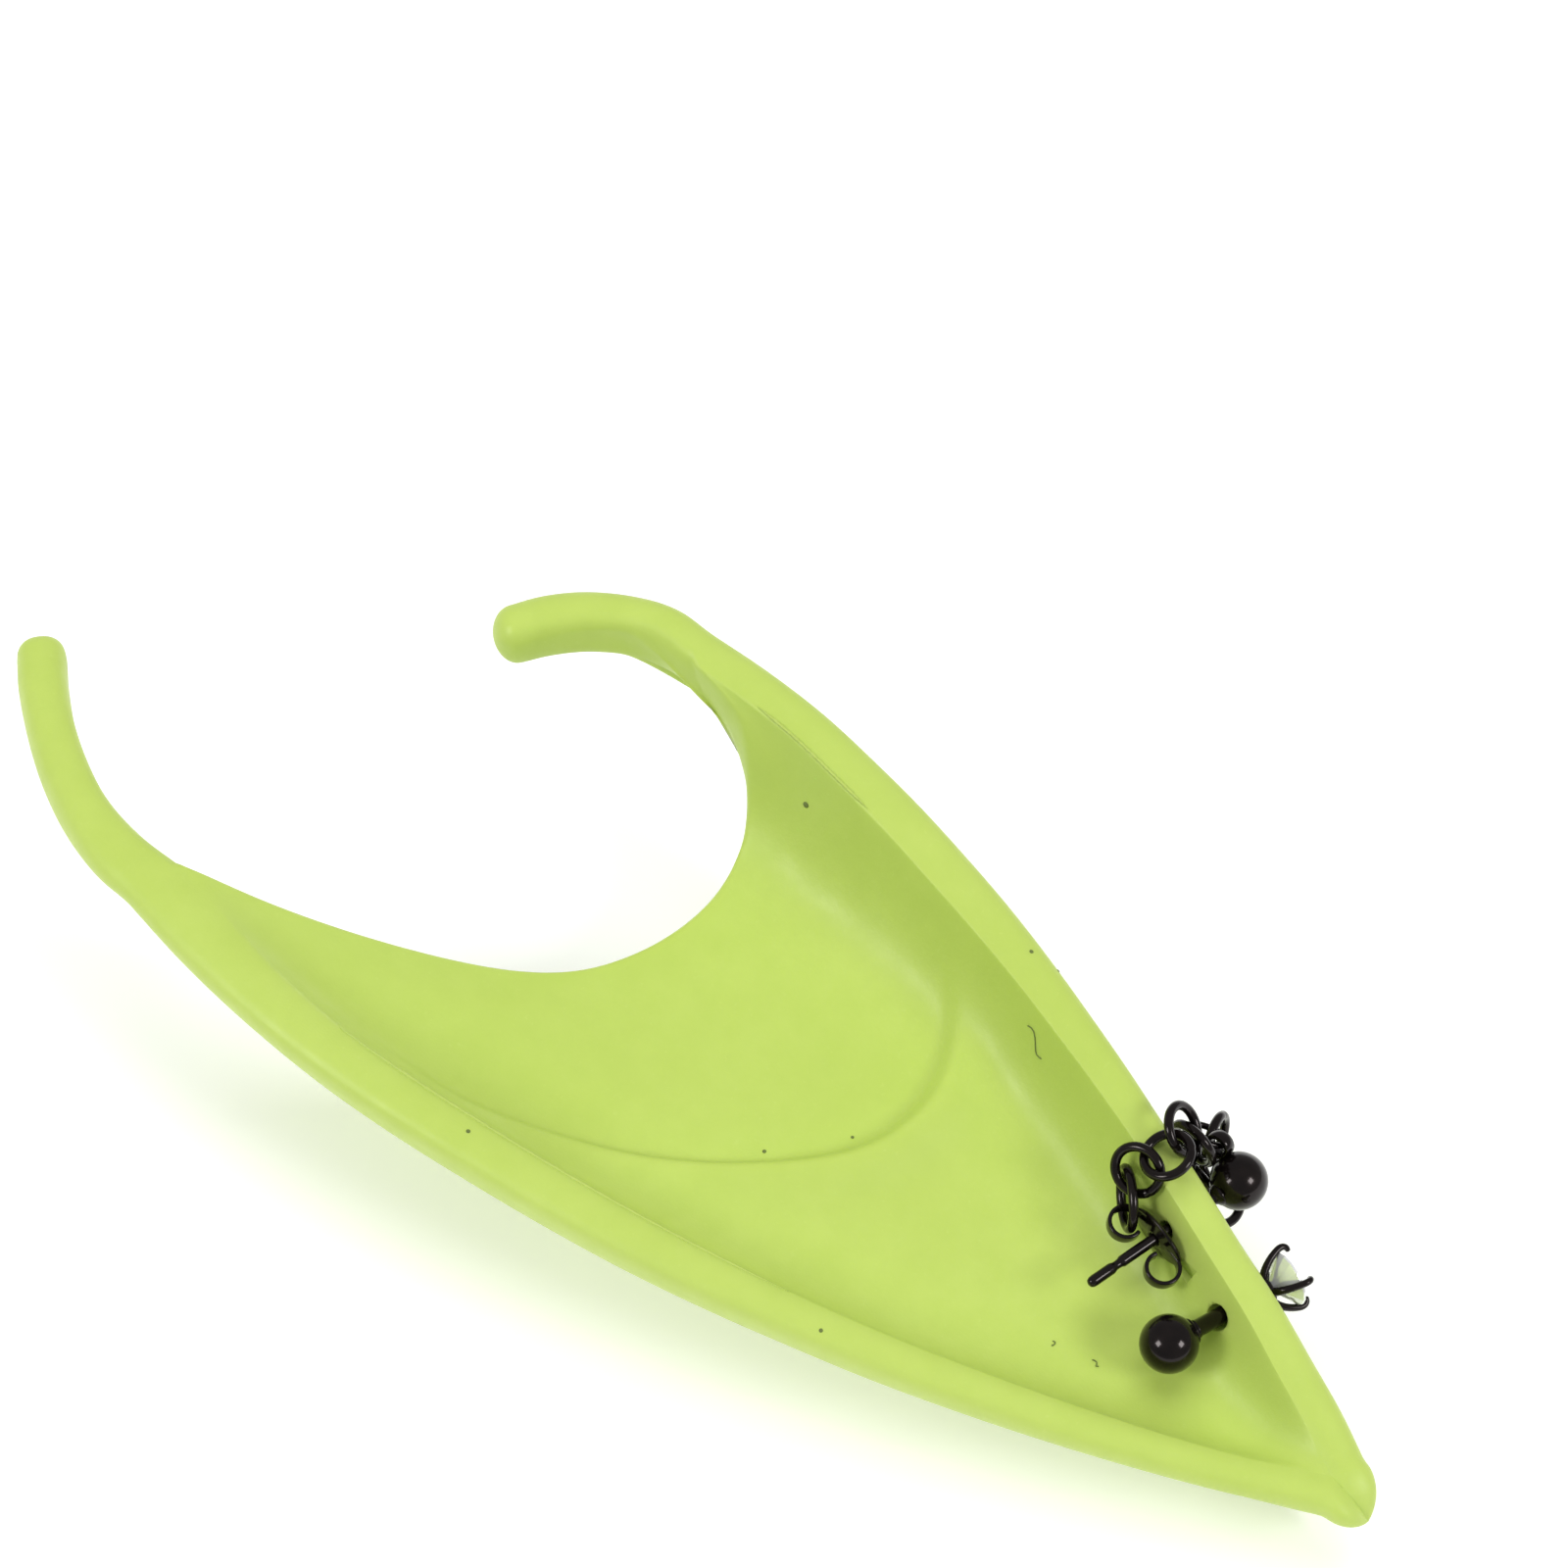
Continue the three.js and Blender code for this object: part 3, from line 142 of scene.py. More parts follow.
us = np.linspace(0, 1, 121)
RIDGE_LINE = np.stack([at(RIDC, "x", us), at(RIDC, "y", us), at(RIDC, "h", us)], 1)


# ---------------------------------------------------------------- front skin
A0, B0 = inner_edge("a", 0.0), inner_edge("b", 0.0)


def patch(s, q):
    a, b, f = inner_edge("a", s), inner_edge("b", s), (1 - s) ** 1.3
    return [mix(a[k], b[k], q) + f * (at(LIPC, "xy"[k], q) - mix(A0[k], B0[k], q)) for k in (0, 1)]


def quad(a, m, b, q):
    return a * (1 - q) * (1 - 2 * q) + 4 * m * q * (1 - q) + b * q * (2 * q - 1)


def floor_height(s, q):
    here = quad(at(SEC, "aVal", s), at(SEC, "mid", s), at(SEC, "bVal", s), q)
    f = max(1 - s / 0.2, 0) ** 2
    return here + f * (at(LIPC, "z", q) - quad(SEC["aVal"][0], SEC["mid"][0], SEC["bVal"][0], q))


def ridge_height(x, y):
    dd, v, side, _ = nearest(RIDGE_LINE, x, y)
    d = np.where(side < 0, dd, -dd)
    h = np.where(d < 0, -RIDGE_DIP * np.exp(-(d / 2.5) ** 2),
                 np.where(d < 1.2, -RIDGE_DIP + (RIDGE_H + RIDGE_DIP) * step(0, 1.2, d), RIDGE_H * np.exp(-(np.maximum(d - 1.2, 0) / 2.7) ** 2)))
    return h * v


def skin_height(s, q, x, y):
    base = floor_height(s, q) + ridge_height(x, y)
    da, va, _, _ = nearest(EDGE["a"], x, y); db, vb, _, _ = nearest(EDGE["b"], x, y)
    ga, gb = np.exp(-(da / WALL_REACH) ** 1.15), np.exp(-(db / WALL_REACH) ** 1.15)
    top = (ga * va + gb * vb) / (ga + gb + 1e-9) - 0.3
    return base + np.maximum(top - base, 0) * (1 - (1 - ga) * (1 - gb))


# ------------------------------------------------------------------ sections
def side_points(side, s):
    r = rim(side, s); lean = TUCK * (r["z"] - r["hull"])
    under = mix(0.3, 1, step(0, 0.25, s)) * mix(1, 0.5, step(0.8, 1, s))
    rows = [(0.72 * r["w"], r["z"]), (0.4 * r["w"], r["z"]), (0.12 * r["w"], r["z"] - 0.4), (0, r["z"] - 1.2),
            (0.3 * lean, mix(r["z"] - 1.2, r["hull"], 0.5)), (lean, r["hull"]),
            (lean + 1.3 * under, mix(r["foot"], r["hull"], 0.42)), (lean + 3.2 * under, mix(r["foot"], r["hull"], 0.1))]
    return [np.array([r["outer"][0] - t * r["n"][0], r["outer"][1] - t * r["n"][1], z]) for t, z in rows]


BACK_A0, BACK_B0 = side_points("a", 0.0)[SIDE - 1], side_points("b", 0.0)[SIDE - 1]


def back_point(s, r):
    b, a, q, f = side_points("b", s)[SIDE - 1], side_points("a", s)[SIDE - 1], 1 - r, (1 - s) ** 1.3
    p = []
    for k in (0, 1):
        key = "xy"[k]
        edge = float(at(LIPC, key, q) + at(RECC, key, q)); e0 = float(at(LIPC, key, 1.0)); e1 = float(at(LIPC, key, 0.0))
        straight = mix(BACK_B0[k], BACK_A0[k], r); shift = mix(BACK_B0[k] - e0, BACK_A0[k] - e1, float(step(0, 1, r)))
        p.append(mix(b[k], a[k], r) + f * (edge + shift * abs(2 * r - 1) ** 3 - straight))
    belly = float(at(SEC, "belly", s))
    z = belly + (b[2] - belly) * (1 - r) ** 4 + (a[2] - belly) * r ** 4 - (0.35 + FLAT * float(step(0.15, 0.32, s) * (1 - step(0.5, 0.75, s)))) * min(1, 6 * r * (1 - r))
    if s < 0.86:
        z = max(0, z)
    else:
        z = max(0, mix(max(0, z), z + 0.3, float(step(0.86, 1, s))))
    return np.array([p[0], p[1], z])


def outer_ring(s):
    f = np.arange(FRONT) / (FRONT - 1); q = mix(f, 0.5 - 0.5 * np.cos(np.pi * f), 0.6)
    x, y = patch(s, q)
    ring = [np.array(p) for p in zip(x, y, skin_height(s, q, x, y))]
    ring += side_points("b", s)
    ring += [back_point(s, i / (BACK + 1)) for i in range(1, BACK + 1)]
    ring += side_points("a", s)[::-1]
    return ring


def pocket_ring(s):
    a, b = inner_edge("a", s), inner_edge("b", s)
    inset = float(mix(0.8, 2.8, step(0, 0.12, s))); span = math.hypot(a[0] - b[0], a[1] - b[1])
    q = mix(inset / span, 1 - inset / span, np.arange(FRONT) / (FRONT - 1)); x, y = patch(s, q)
    top = [np.array(p) for p in zip(x, y, floor_height(s, q) + 0.5 * ridge_height(x, y) - SKIN)]
    edge = 2.0 / span
    bottom = []
    for i in range(BACK + 2):
        p = back_point(s, mix(edge, 1 - edge, i / (BACK + 1))); p[2] += BACK_WALL; bottom.append(p)
    for i, p in enumerate(top):
        o = bottom[int(round((1 - i / (FRONT - 1)) * (BACK + 1)))]
        if p[2] < o[2] + 0.7:
            m = (p[2] + o[2]) / 2; p[2] = m + 0.35; o[2] = min(o[2], m - 0.35)

    def bulge(side, src, dst):
        r = rim(side, s); lean = TUCK * (r["z"] - r["hull"])
        t = lambda p: (r["outer"][0] - p[0]) * r["n"][0] + (r["outer"][1] - p[1]) * r["n"][1]
        tm = (t(src) + t(dst)) / 2; reach = 2 * (lean + SIDE_WALL) - tm
        c = np.array([(src[0] + dst[0]) / 2 + (tm - reach) * r["n"][0], (src[1] + dst[1]) / 2 + (tm - reach) * r["n"][1], (src[2] + dst[2]) / 2])
        out = []
        for i in range(1, SIDE + 1):
            f = i / (SIDE + 1)
            out.append((1 - f) * (1 - f) * src + 2 * f * (1 - f) * c + f * f * dst)
        return out
    sb, sa = bulge("b", top[-1], bottom[0]), bulge("a", bottom[-1], top[0])
    sb[-1] = bottom[0]; sa[0] = bottom[-1]
    return top + sb + bottom[1:-1] + sa


# ----------------------------------------------------------------- the shell
def ear_shell():
    verts, faces, K = [], [], FRONT + SIDE + BACK + SIDE

    def add(ring):
        n = len(verts); verts.extend(ring); return list(range(n, n + len(ring)))

    def strip(r0, r1, flip):
        n = len(r0)
        for k in range(n):
            a, b, c, d = r0[k], r0[(k + 1) % n], r1[(k + 1) % n], r1[k]
            faces.append((a, d, c, b) if flip else (a, b, c, d))

    def cap(ring, point, flip):
        verts.append(np.array(point)); v = len(verts) - 1
        for k in range(len(ring)):
            a, b = ring[k], ring[(k + 1) % len(ring)]
            faces.append((a, v, b) if flip else (a, b, v))
    outer = []; last = None
    for i in range(STATIONS):
        last = outer_ring(i / (STATIONS - 1)); outer.append(add(last))
    ra, rb = rim("a", 1.0)["outer"], rim("b", 1.0)["outer"]
    mid = ((ra[0] + rb[0]) / 2, (ra[1] + rb[1]) / 2, 4.9)
    for i in range(1, ROUND):
        f = (math.pi / 2) * i / ROUND; c, d = math.cos(f), math.sin(f)
        outer.append(add([np.array([mid[0] + (p[0] - mid[0]) * c + (NOSE[0] - mid[0]) * d, mid[1] + (p[1] - mid[1]) * c + (NOSE[1] - mid[1]) * d, mid[2] + (p[2] - mid[2]) * c]) for p in last]))
    for i in range(len(outer) - 1):
        strip(outer[i], outer[i + 1], False)
    cap(outer[-1], (NOSE[0], NOSE[1], mid[2]), False)
    inner = []; NP = int(round(STATIONS * 0.6))
    for i in range(NP):
        last = pocket_ring(i / (NP - 1) * POCKET_END); inner.append(add(last))
    c0 = sum(last) / K
    for i in range(1, 4):
        f = (math.pi / 2) * i / 4; c, d = math.cos(f), math.sin(f) * 1.5
        inner.append(add([np.array([c0[0] + (p[0] - c0[0]) * c + d, c0[1] + (p[1] - c0[1]) * c - 0.1 * d, c0[2] + (p[2] - c0[2]) * c]) for p in last]))
    for i in range(len(inner) - 1):
        strip(inner[i], inner[i + 1], True)
    cap(inner[-1], (c0[0] + 1.5, c0[1] - 0.15, c0[2]), True)
    o, n = outer[0], inner[0]

    def joinq(k, m):
        faces.append((o[m], o[k], n[k], n[m]))
    for k in range(FRONT - 1):
        joinq(k, k + 1)
    for k in range(FRONT + SIDE, FRONT + SIDE + BACK - 1):
        joinq(k, k + 1)

    def prong(loop, cols, out):
        half = len(loop) // 2; base = np.array([verts[v] for v in loop]); neck = rim("a" if out > 0 else "b", 0.0)
        c = np.array([(neck["inner"][0] + neck["outer"][0]) / 2, (neck["inner"][1] + neck["outer"][1]) / 2, neck["z"] - cols["t"][0] / 2])
        nrow = len(cols["x"])
        line = {k: np.concatenate([[c[i]], cols[k]]) for i, k in enumerate("xyz")}
        N = 6 * nrow; prev = loop; fr = None

        def shape(i, w, t, g):
            deg = mix(-118, 132, i / (half - 1)) if i < half else mix(152, 222, (i - half) / (half - 1))
            ca, sa = math.cos(math.radians(deg)), math.sin(math.radians(deg))
            e = lambda v: math.copysign(abs(v) ** 0.82, v)
            u = (w / 2) * e(ca) * (1 if i < half else 1 - 2 * g * max(-ca, 0) ** 6)
            return u, (t / 2) * e(sa)
        for j in range(1, N + ROUND + 1):
            share = min(j / N, 1); p = np.array([float(at(line, k, share)) for k in "xyz"])
            rs = max(share * nrow - 1, 0) / (nrow - 1); w, t, g = (float(at(cols, k, rs)) for k in "wtg")
            if j <= N:
                q0 = [float(at(line, k, max(share - 0.01, 0))) for k in "xy"]; q1 = [float(at(line, k, min(share + 0.01, 1))) for k in "xy"]
                tx, ty = q1[0] - q0[0], q1[1] - q0[1]; l = math.hypot(tx, ty); tx /= l; ty /= l
                fr = ((tx, ty), (out * -ty, out * tx))
            phi = (math.pi / 2) * (j - N) / ROUND if j > N else 0.0
            cs, ext = math.cos(phi), math.sin(phi) * PRONG_ROUND
            o2 = np.array([p[0] + fr[0][0] * ext, p[1] + fr[0][1] * ext, p[2]])
            if j == N + ROUND:
                verts.append(o2); v = len(verts) - 1
                for k in range(len(prev)):
                    faces.append((prev[k], prev[(k + 1) % len(prev)], v))
                break
            m = float(step(0, 0.42, share))
            ring = []
            for i, b in enumerate(base):
                u, v = shape(i, w, t, g)
                full = np.array([o2[0] + fr[1][0] * u * cs, o2[1] + fr[1][1] * u * cs, o2[2] + v * cs])
                ring.append(mix(b - c + o2, full, m))
            ring = add(ring)
            for k in range(len(prev)):
                a, b2, cc, d = prev[k], prev[(k + 1) % len(prev)], ring[(k + 1) % len(prev)], ring[k]
                faces.append((a, b2, cc, d))
            prev = ring
    kb, ke, ka = FRONT - 1, FRONT + SIDE, FRONT + SIDE + BACK - 1
    bo = [o[k] for k in range(ke, kb - 1, -1)]; bi = [n[k] for k in range(kb, ke + 1)]
    ao = [o[k % K] for k in range(ka, K + 1)]; ai = [n[k % K] for k in range(K, ka - 1, -1)]
    prong(bo + bi, FPC, -1)
    mark = len(faces)
    prong(ao + ai, RPC, 1)
    faces = [tuple(reversed(f)) if i < mark else f for i, f in enumerate(faces)]
    return np.array(verts), faces


def make(name, verts, faces, mats, smooth_on=True, body="root"):
    me = bpy.data.meshes.new(name)
    v = (np.asarray(verts, float) - np.array(ORIGIN)) * MM
    me.from_pydata(v.tolist(), [], [list(map(int, f)) for f in faces])
    me.validate(); me.update()
    ob = bpy.data.objects.new(name, me); bpy.context.scene.collection.objects.link(ob)
    for m in (mats if isinstance(mats, (list, tuple)) else [mats]):
        me.materials.append(m)
    if smooth_on:
        me.polygons.foreach_set("use_smooth", [True] * len(me.polygons))
    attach(ob, body)
    return ob


# ------------------------------------------------------------------ materials
def srgb(r, g, b):
    f = lambda c: (c / 255) / 12.92 if c / 255 <= 0.04045 else ((c / 255 + 0.055) / 1.055) ** 2.4
    return (f(r), f(g), f(b), 1.0)


def new_material(name):
    m = bpy.data.materials.new(name); m.use_nodes = True
    nt = m.node_tree; nt.nodes.clear()
    out = nt.nodes.new("ShaderNodeOutputMaterial"); p = nt.nodes.new("ShaderNodeBsdfPrincipled")
    nt.links.new(p.outputs[0], out.inputs[0])
    return m, nt, p


def noise(nt, scale, detail=3.0, rough=0.5, coord=None):
    n = nt.nodes.new("ShaderNodeTexNoise"); n.inputs["Scale"].default_value = scale
    n.inputs["Detail"].default_value = detail; n.inputs["Roughness"].default_value = rough
    nt.links.new(coord, n.inputs["Vector"])
    return n.outputs["Fac"]


def ramp(nt, fac, lo, hi, a, b):
    r = nt.nodes.new("ShaderNodeMapRange"); r.inputs["From Min"].default_value = lo; r.inputs["From Max"].default_value = hi
    r.inputs["To Min"].default_value = a; r.inputs["To Max"].default_value = b
    nt.links.new(fac, r.inputs["Value"])
    return r.outputs["Result"]


def blend_colour(nt, fac, c1, c2):
    m = nt.nodes.new("ShaderNodeMix"); m.data_type = "RGBA"
    nt.links.new(fac, m.inputs["Factor"])
    for sock, c in ((m.inputs[6], c1), (m.inputs[7], c2)):
        if isinstance(c, tuple):
            sock.default_value = c
        else:
            nt.links.new(c, sock)
    return m.outputs[2]


def latex_material():
    m, nt, p = new_material("latex_green")
    co = nt.nodes.new("ShaderNodeTexCoord").outputs["Object"]
    big = noise(nt, 55, 2.0, 0.5, co); mid = noise(nt, 420, 4.0, 0.55, co); fine = noise(nt, 2600, 3.0, 0.6, co)
    base = blend_colour(nt, ramp(nt, big, 0.3, 0.7, 0, 1), srgb(187, 209, 98), srgb(193, 214, 106))
    base = blend_colour(nt, ramp(nt, mid, 0.35, 0.7, 0, 0.35), base, srgb(181, 204, 92))
    # faint cloudy bloom where the latex has dried
    base = blend_colour(nt, ramp(nt, fine, 0.62, 0.8, 0, 0.25), base, srgb(206, 224, 130))
    nt.links.new(base, p.inputs["Base Color"])
    nt.links.new(ramp(nt, mid, 0.3, 0.7, 0.40, 0.50), p.inputs["Roughness"])
    p.inputs["Subsurface Weight"].default_value = 0.22
    p.inputs["Subsurface Radius"].default_value = (1.0, 1.0, 0.35)
    p.inputs["Subsurface Scale"].default_value = 0.0016
    p.inputs["Specular IOR Level"].default_value = 0.45
    bump = nt.nodes.new("ShaderNodeBump"); bump.inputs["Strength"].default_value = 0.12; bump.inputs["Distance"].default_value = 0.0002
    h = nt.nodes.new("ShaderNodeMath"); h.operation = "ADD"
    nt.links.new(mid, h.inputs[0]); nt.links.new(fine, h.inputs[1])
    nt.links.new(h.outputs[0], bump.inputs["Height"]); nt.links.new(bump.outputs[0], p.inputs["Normal"])
    return m


def black_material():
    m, nt, p = new_material("black_plated_steel")
    co = nt.nodes.new("ShaderNodeTexCoord").outputs["Object"]
    n1 = noise(nt, 900, 3.0, 0.5, co); n2 = noise(nt, 4000, 2.0, 0.6, co)
    nt.links.new(blend_colour(nt, ramp(nt, n1, 0.3, 0.7, 0, 1), (0.009, 0.006, 0.006, 1), (0.016, 0.011, 0.010, 1)), p.inputs["Base Color"])
    nt.links.new(ramp(nt, n1, 0.3, 0.7, 0.13, 0.22), p.inputs["Roughness"])
    p.inputs["Metallic"].default_value = 0.7
    p.inputs["Specular IOR Level"].default_value = 0.4
    p.inputs["Coat Weight"].default_value = 0.25
    p.inputs["Coat Roughness"].default_value = 0.08
    bump = nt.nodes.new("ShaderNodeBump"); bump.inputs["Strength"].default_value = 0.05; bump.inputs["Distance"].default_value = 0.00005
    nt.links.new(n2, bump.inputs["Height"]); nt.links.new(bump.outputs[0], p.inputs["Normal"])
    return m


def crystal_material():
    m, nt, p = new_material("clear_crystal")
    co = nt.nodes.new("ShaderNodeTexCoord").outputs["Object"]
    n = noise(nt, 700, 2.0, 0.5, co)
    nt.links.new(blend_colour(nt, n, (0.93, 0.95, 0.96, 1), (1.0, 1.0, 1.0, 1)), p.inputs["Base Color"])
    p.inputs["Roughness"].default_value = 0.02
    p.inputs["IOR"].default_value = 2.1
    p.inputs["Transmission Weight"].default_value = 0.45
    return m


def dark_material():
    m, nt, p = new_material("mould_dust")
    co = nt.nodes.new("ShaderNodeTexCoord").outputs["Object"]
    nt.links.new(blend_colour(nt, noise(nt, 3000, 2.0, 0.5, co), srgb(88, 98, 52), srgb(122, 140, 70)), p.inputs["Base Color"])
    p.inputs["Roughness"].default_value = 0.7
    return m


LATEX, BLACK, CRYSTAL, DUST = latex_material(), black_material(), crystal_material(), dark_material()


# ------------------------------------------------------------- shell in place
sv, sf = ear_shell()
shell = make("ear_shell_fine", sv, sf, LATEX)
sub = shell.modifiers.new("round", "SUBSURF"); sub.levels = 1; sub.render_levels = 1
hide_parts("ear_shell")


def pierce(ob, cutters):
    """Cut closed bodies, in mm of the table's frame, out of a piece once its modifiers are applied."""
    tools = []
    for i, (verts, faces) in enumerate(cutters):
        me = bpy.data.meshes.new("cut%d" % i)
        me.from_pydata(((np.asarray(verts, float) - np.array(ORIGIN)) * MM).tolist(), [], [tuple(map(int, q)) for q in faces])
        me.update(); c = bpy.data.objects.new("cut%d" % i, me); bpy.context.scene.collection.objects.link(c); tools.append(c)
        b = ob.modifiers.new("cut%d" % i, "BOOLEAN"); b.operation = "DIFFERENCE"; b.solver = "EXACT"; b.object = c
    g = bpy.context.evaluated_depsgraph_get(); g.update()
    new = bpy.data.meshes.new_from_object(ob.evaluated_get(g), preserve_all_data_layers=True, depsgraph=g)
    ob.modifiers.clear(); ob.data = new
    for c in tools:
        me = c.data; bpy.data.objects.remove(c, do_unlink=True); bpy.data.meshes.remove(me)
    print("shell after the bores:", len(new.polygons), "faces")


# ------------------------------------------------------------------ jewellery
def unit(v):
    v = np.asarray(v, float); return v / np.linalg.norm(v)


def axes(n, hint=(0.13, 0.27, 0.95)):
    n = unit(n); a = unit(np.cross(n, hint)); return a, np.cross(n, a), n


def lathe(profile, axis, p, n=48, closed=False):
    a, b, ax = axes(axis); p = np.asarray(p, float); verts, faces, rings = [], [], []
    for r, y in profile:
        if r < 1e-6:
            rings.append([len(verts)]); verts.append(p + ax * y)
        else:
            rings.append(list(range(len(verts), len(verts) + n)))
            for k in range(n):
                t = 2 * math.pi * k / n; verts.append(p + ax * y + r * (math.cos(t) * a + math.sin(t) * b))
    pairs = list(zip(rings, rings[1:])) + ([(rings[-1], rings[0])] if closed else [])
    for r0, r1 in pairs:
        for k in range(n):
            m = (k + 1) % n
            if len(r0) == 1 and len(r1) > 1: faces.append((r0[0], r1[m], r1[k]))
            elif len(r1) == 1 and len(r0) > 1: faces.append((r0[k], r0[m], r1[0]))
            elif len(r0) > 1: faces.append((r0[k], r0[m], r1[m], r1[k]))
    return verts, faces


def tube(path, radius, closed=False, m=16, cap=True):
    """Round wire along a list of points; radius is one number or one for each point."""
    P = np.asarray(path, float); N = len(P); R = np.broadcast_to(np.asarray(radius, float), (N,))
    T = (np.roll(P, -1, 0) - np.roll(P, 1, 0)) if closed else np.gradient(P, axis=0)
    T = T / np.linalg.norm(T, axis=1)[:, None]
    a = axes(T[0])[0]; A = []
    for t in T:
        a = unit(a - t * (a @ t)); A.append(a)
    A = np.array(A)
    if closed:      # spread the leftover twist
        end = unit(A[-1] - T[0] * (A[-1] @ T[0])); ang = math.atan2(np.cross(end, A[0]) @ T[0], end @ A[0])
        for i in range(N):
            th = ang * i / N; A[i] = A[i] * math.cos(th) + np.cross(T[i], A[i]) * math.sin(th)
    verts, faces = [], []
    for i in range(N):
        b = np.cross(T[i], A[i])
        for k in range(m):
            t = 2 * math.pi * k / m; verts.append(P[i] + R[i] * (math.cos(t) * A[i] + math.sin(t) * b))
    for i in range(N if closed else N - 1):
        j = (i + 1) % N
        for k in range(m):
            q = (k + 1) % m; faces.append((i * m + k, i * m + q, j * m + q, j * m + k))
    if not closed and cap:
        for i, sgn in ((0, -1), (N - 1, 1)):
            verts.append(P[i] + sgn * T[i] * R[i] * 0.6); v = len(verts) - 1
            for k in range(m):
                q = (k + 1) % m
                faces.append((i * m + k, i * m + q, v) if sgn > 0 else (i * m + q, i * m + k, v))
    return verts, faces


def merge(parts):
    verts, faces = [], []
    for v, f in parts:
        o = len(verts); verts.extend(v); faces.extend([tuple(i + o for i in q) for q in f])
    return verts, faces


def ball(c, r, rows=32, n=56, axis=(0, 0, 1)):
    return lathe([(r * math.sin(math.pi * i / rows) if 0 < i < rows else 0.0, -r * math.cos(math.pi * i / rows)) for i in range(rows + 1)], axis, c, n)


BALL_R = 2.0
STUD, STUD_DIR = np.array([49.44, -13.45, 10.0]), unit((-0.249, -0.969, 0))
LABRET, LABRET_DIR = np.array([52.56, -25.93, 8.6]), unit((0.357, 0.934, 0))
EYE_DIR = unit((-2.57, 0.66, 2.2)); EYE = STUD + EYE_DIR * (BALL_R + 0.85)
EYE_SIDE = unit(np.cross(EYE_DIR, (0, 0, 1))); EYE_NORMAL = unit(0.35 * np.cross(EYE_DIR, EYE_SIDE) + EYE_SIDE)

# ball stud: ball, bail tube, post with its notch
bail = lathe([(0.60, -0.36), (0.66, -0.45), (0.88, -0.45), (0.95, -0.38), (0.97, 0.0), (0.95, 0.38), (0.88, 0.45), (0.66, 0.45), (0.60, 0.36), (0.58, 0.0)], EYE_NORMAL, EYE, 48, closed=True)
post = lathe([(0, 1.7), (0.8, 1.75), (0.78, 1.95), (0.55, 2.15), (0.42, 2.4), (0.40, 2.6), (0.40, 10.25), (0.385, 10.35), (0.32, 10.5), (0.30, 10.65), (0.30, 10.85), (0.32, 11.0),
              (0.385, 11.15), (0.40, 11.25), (0.40, 12.7), (0.37, 12.95), (0.28, 13.12), (0.14, 13.19), (0, 13.2)], STUD_DIR, STUD, 36)
v, f = merge([ball(STUD, BALL_R), bail, post])
o = make("stud_ball_fine", v, f, BLACK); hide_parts("stud_ball")

# butterfly clutch: dished plate round the post, strip curled into two loops
SEAT = STUD + STUD_DIR * 7.1
HALF, OFF, LOOP_R, WIDE, PLATE = 0.14, 1.95, 1.15, 0.9, 1.5
tl = math.radians(-12); ACROSS = math.cos(tl) * unit((0.969, -0.249, 0)) + math.sin(tl) * np.array([0, 0, 1.0]); UP = np.cross(ACROSS, STUD_DIR)

# bores for both posts, and the dent the clutch presses into the soft wall
GAP = 0.3
CLUTCH_FRAME = np.array([ACROSS, STUD_DIR, UP])


def box(half_x, y0, y1, half_z):
    V = [SEAT + np.array([sx * half_x, y, sz * half_z]) @ CLUTCH_FRAME for sx in (-1, 1) for y in (y0, y1) for sz in (-1, 1)]
    return V, [(0, 1, 3, 2), (4, 6, 7, 5), (0, 4, 5, 1), (2, 3, 7, 6), (0, 2, 6, 4), (1, 5, 7, 3)]


def rod(r, direction, start, y0, y1):
    return lathe([(0, y0), (r, y0), (r, y1), (0, y1)], direction, start, 40)


pierce(shell, [rod(0.4 + GAP, STUD_DIR, STUD, 0, 9.5), rod(0.6 + GAP, LABRET_DIR, LABRET, 0, 11),
               box(OFF + LOOP_R + HALF + GAP, -GAP, 2 * (LOOP_R + HALF) + GAP, WIDE / 2 + GAP),
               rod(PLATE + GAP, STUD_DIR, SEAT, -GAP - 0.1, 2 * HALF + GAP)])


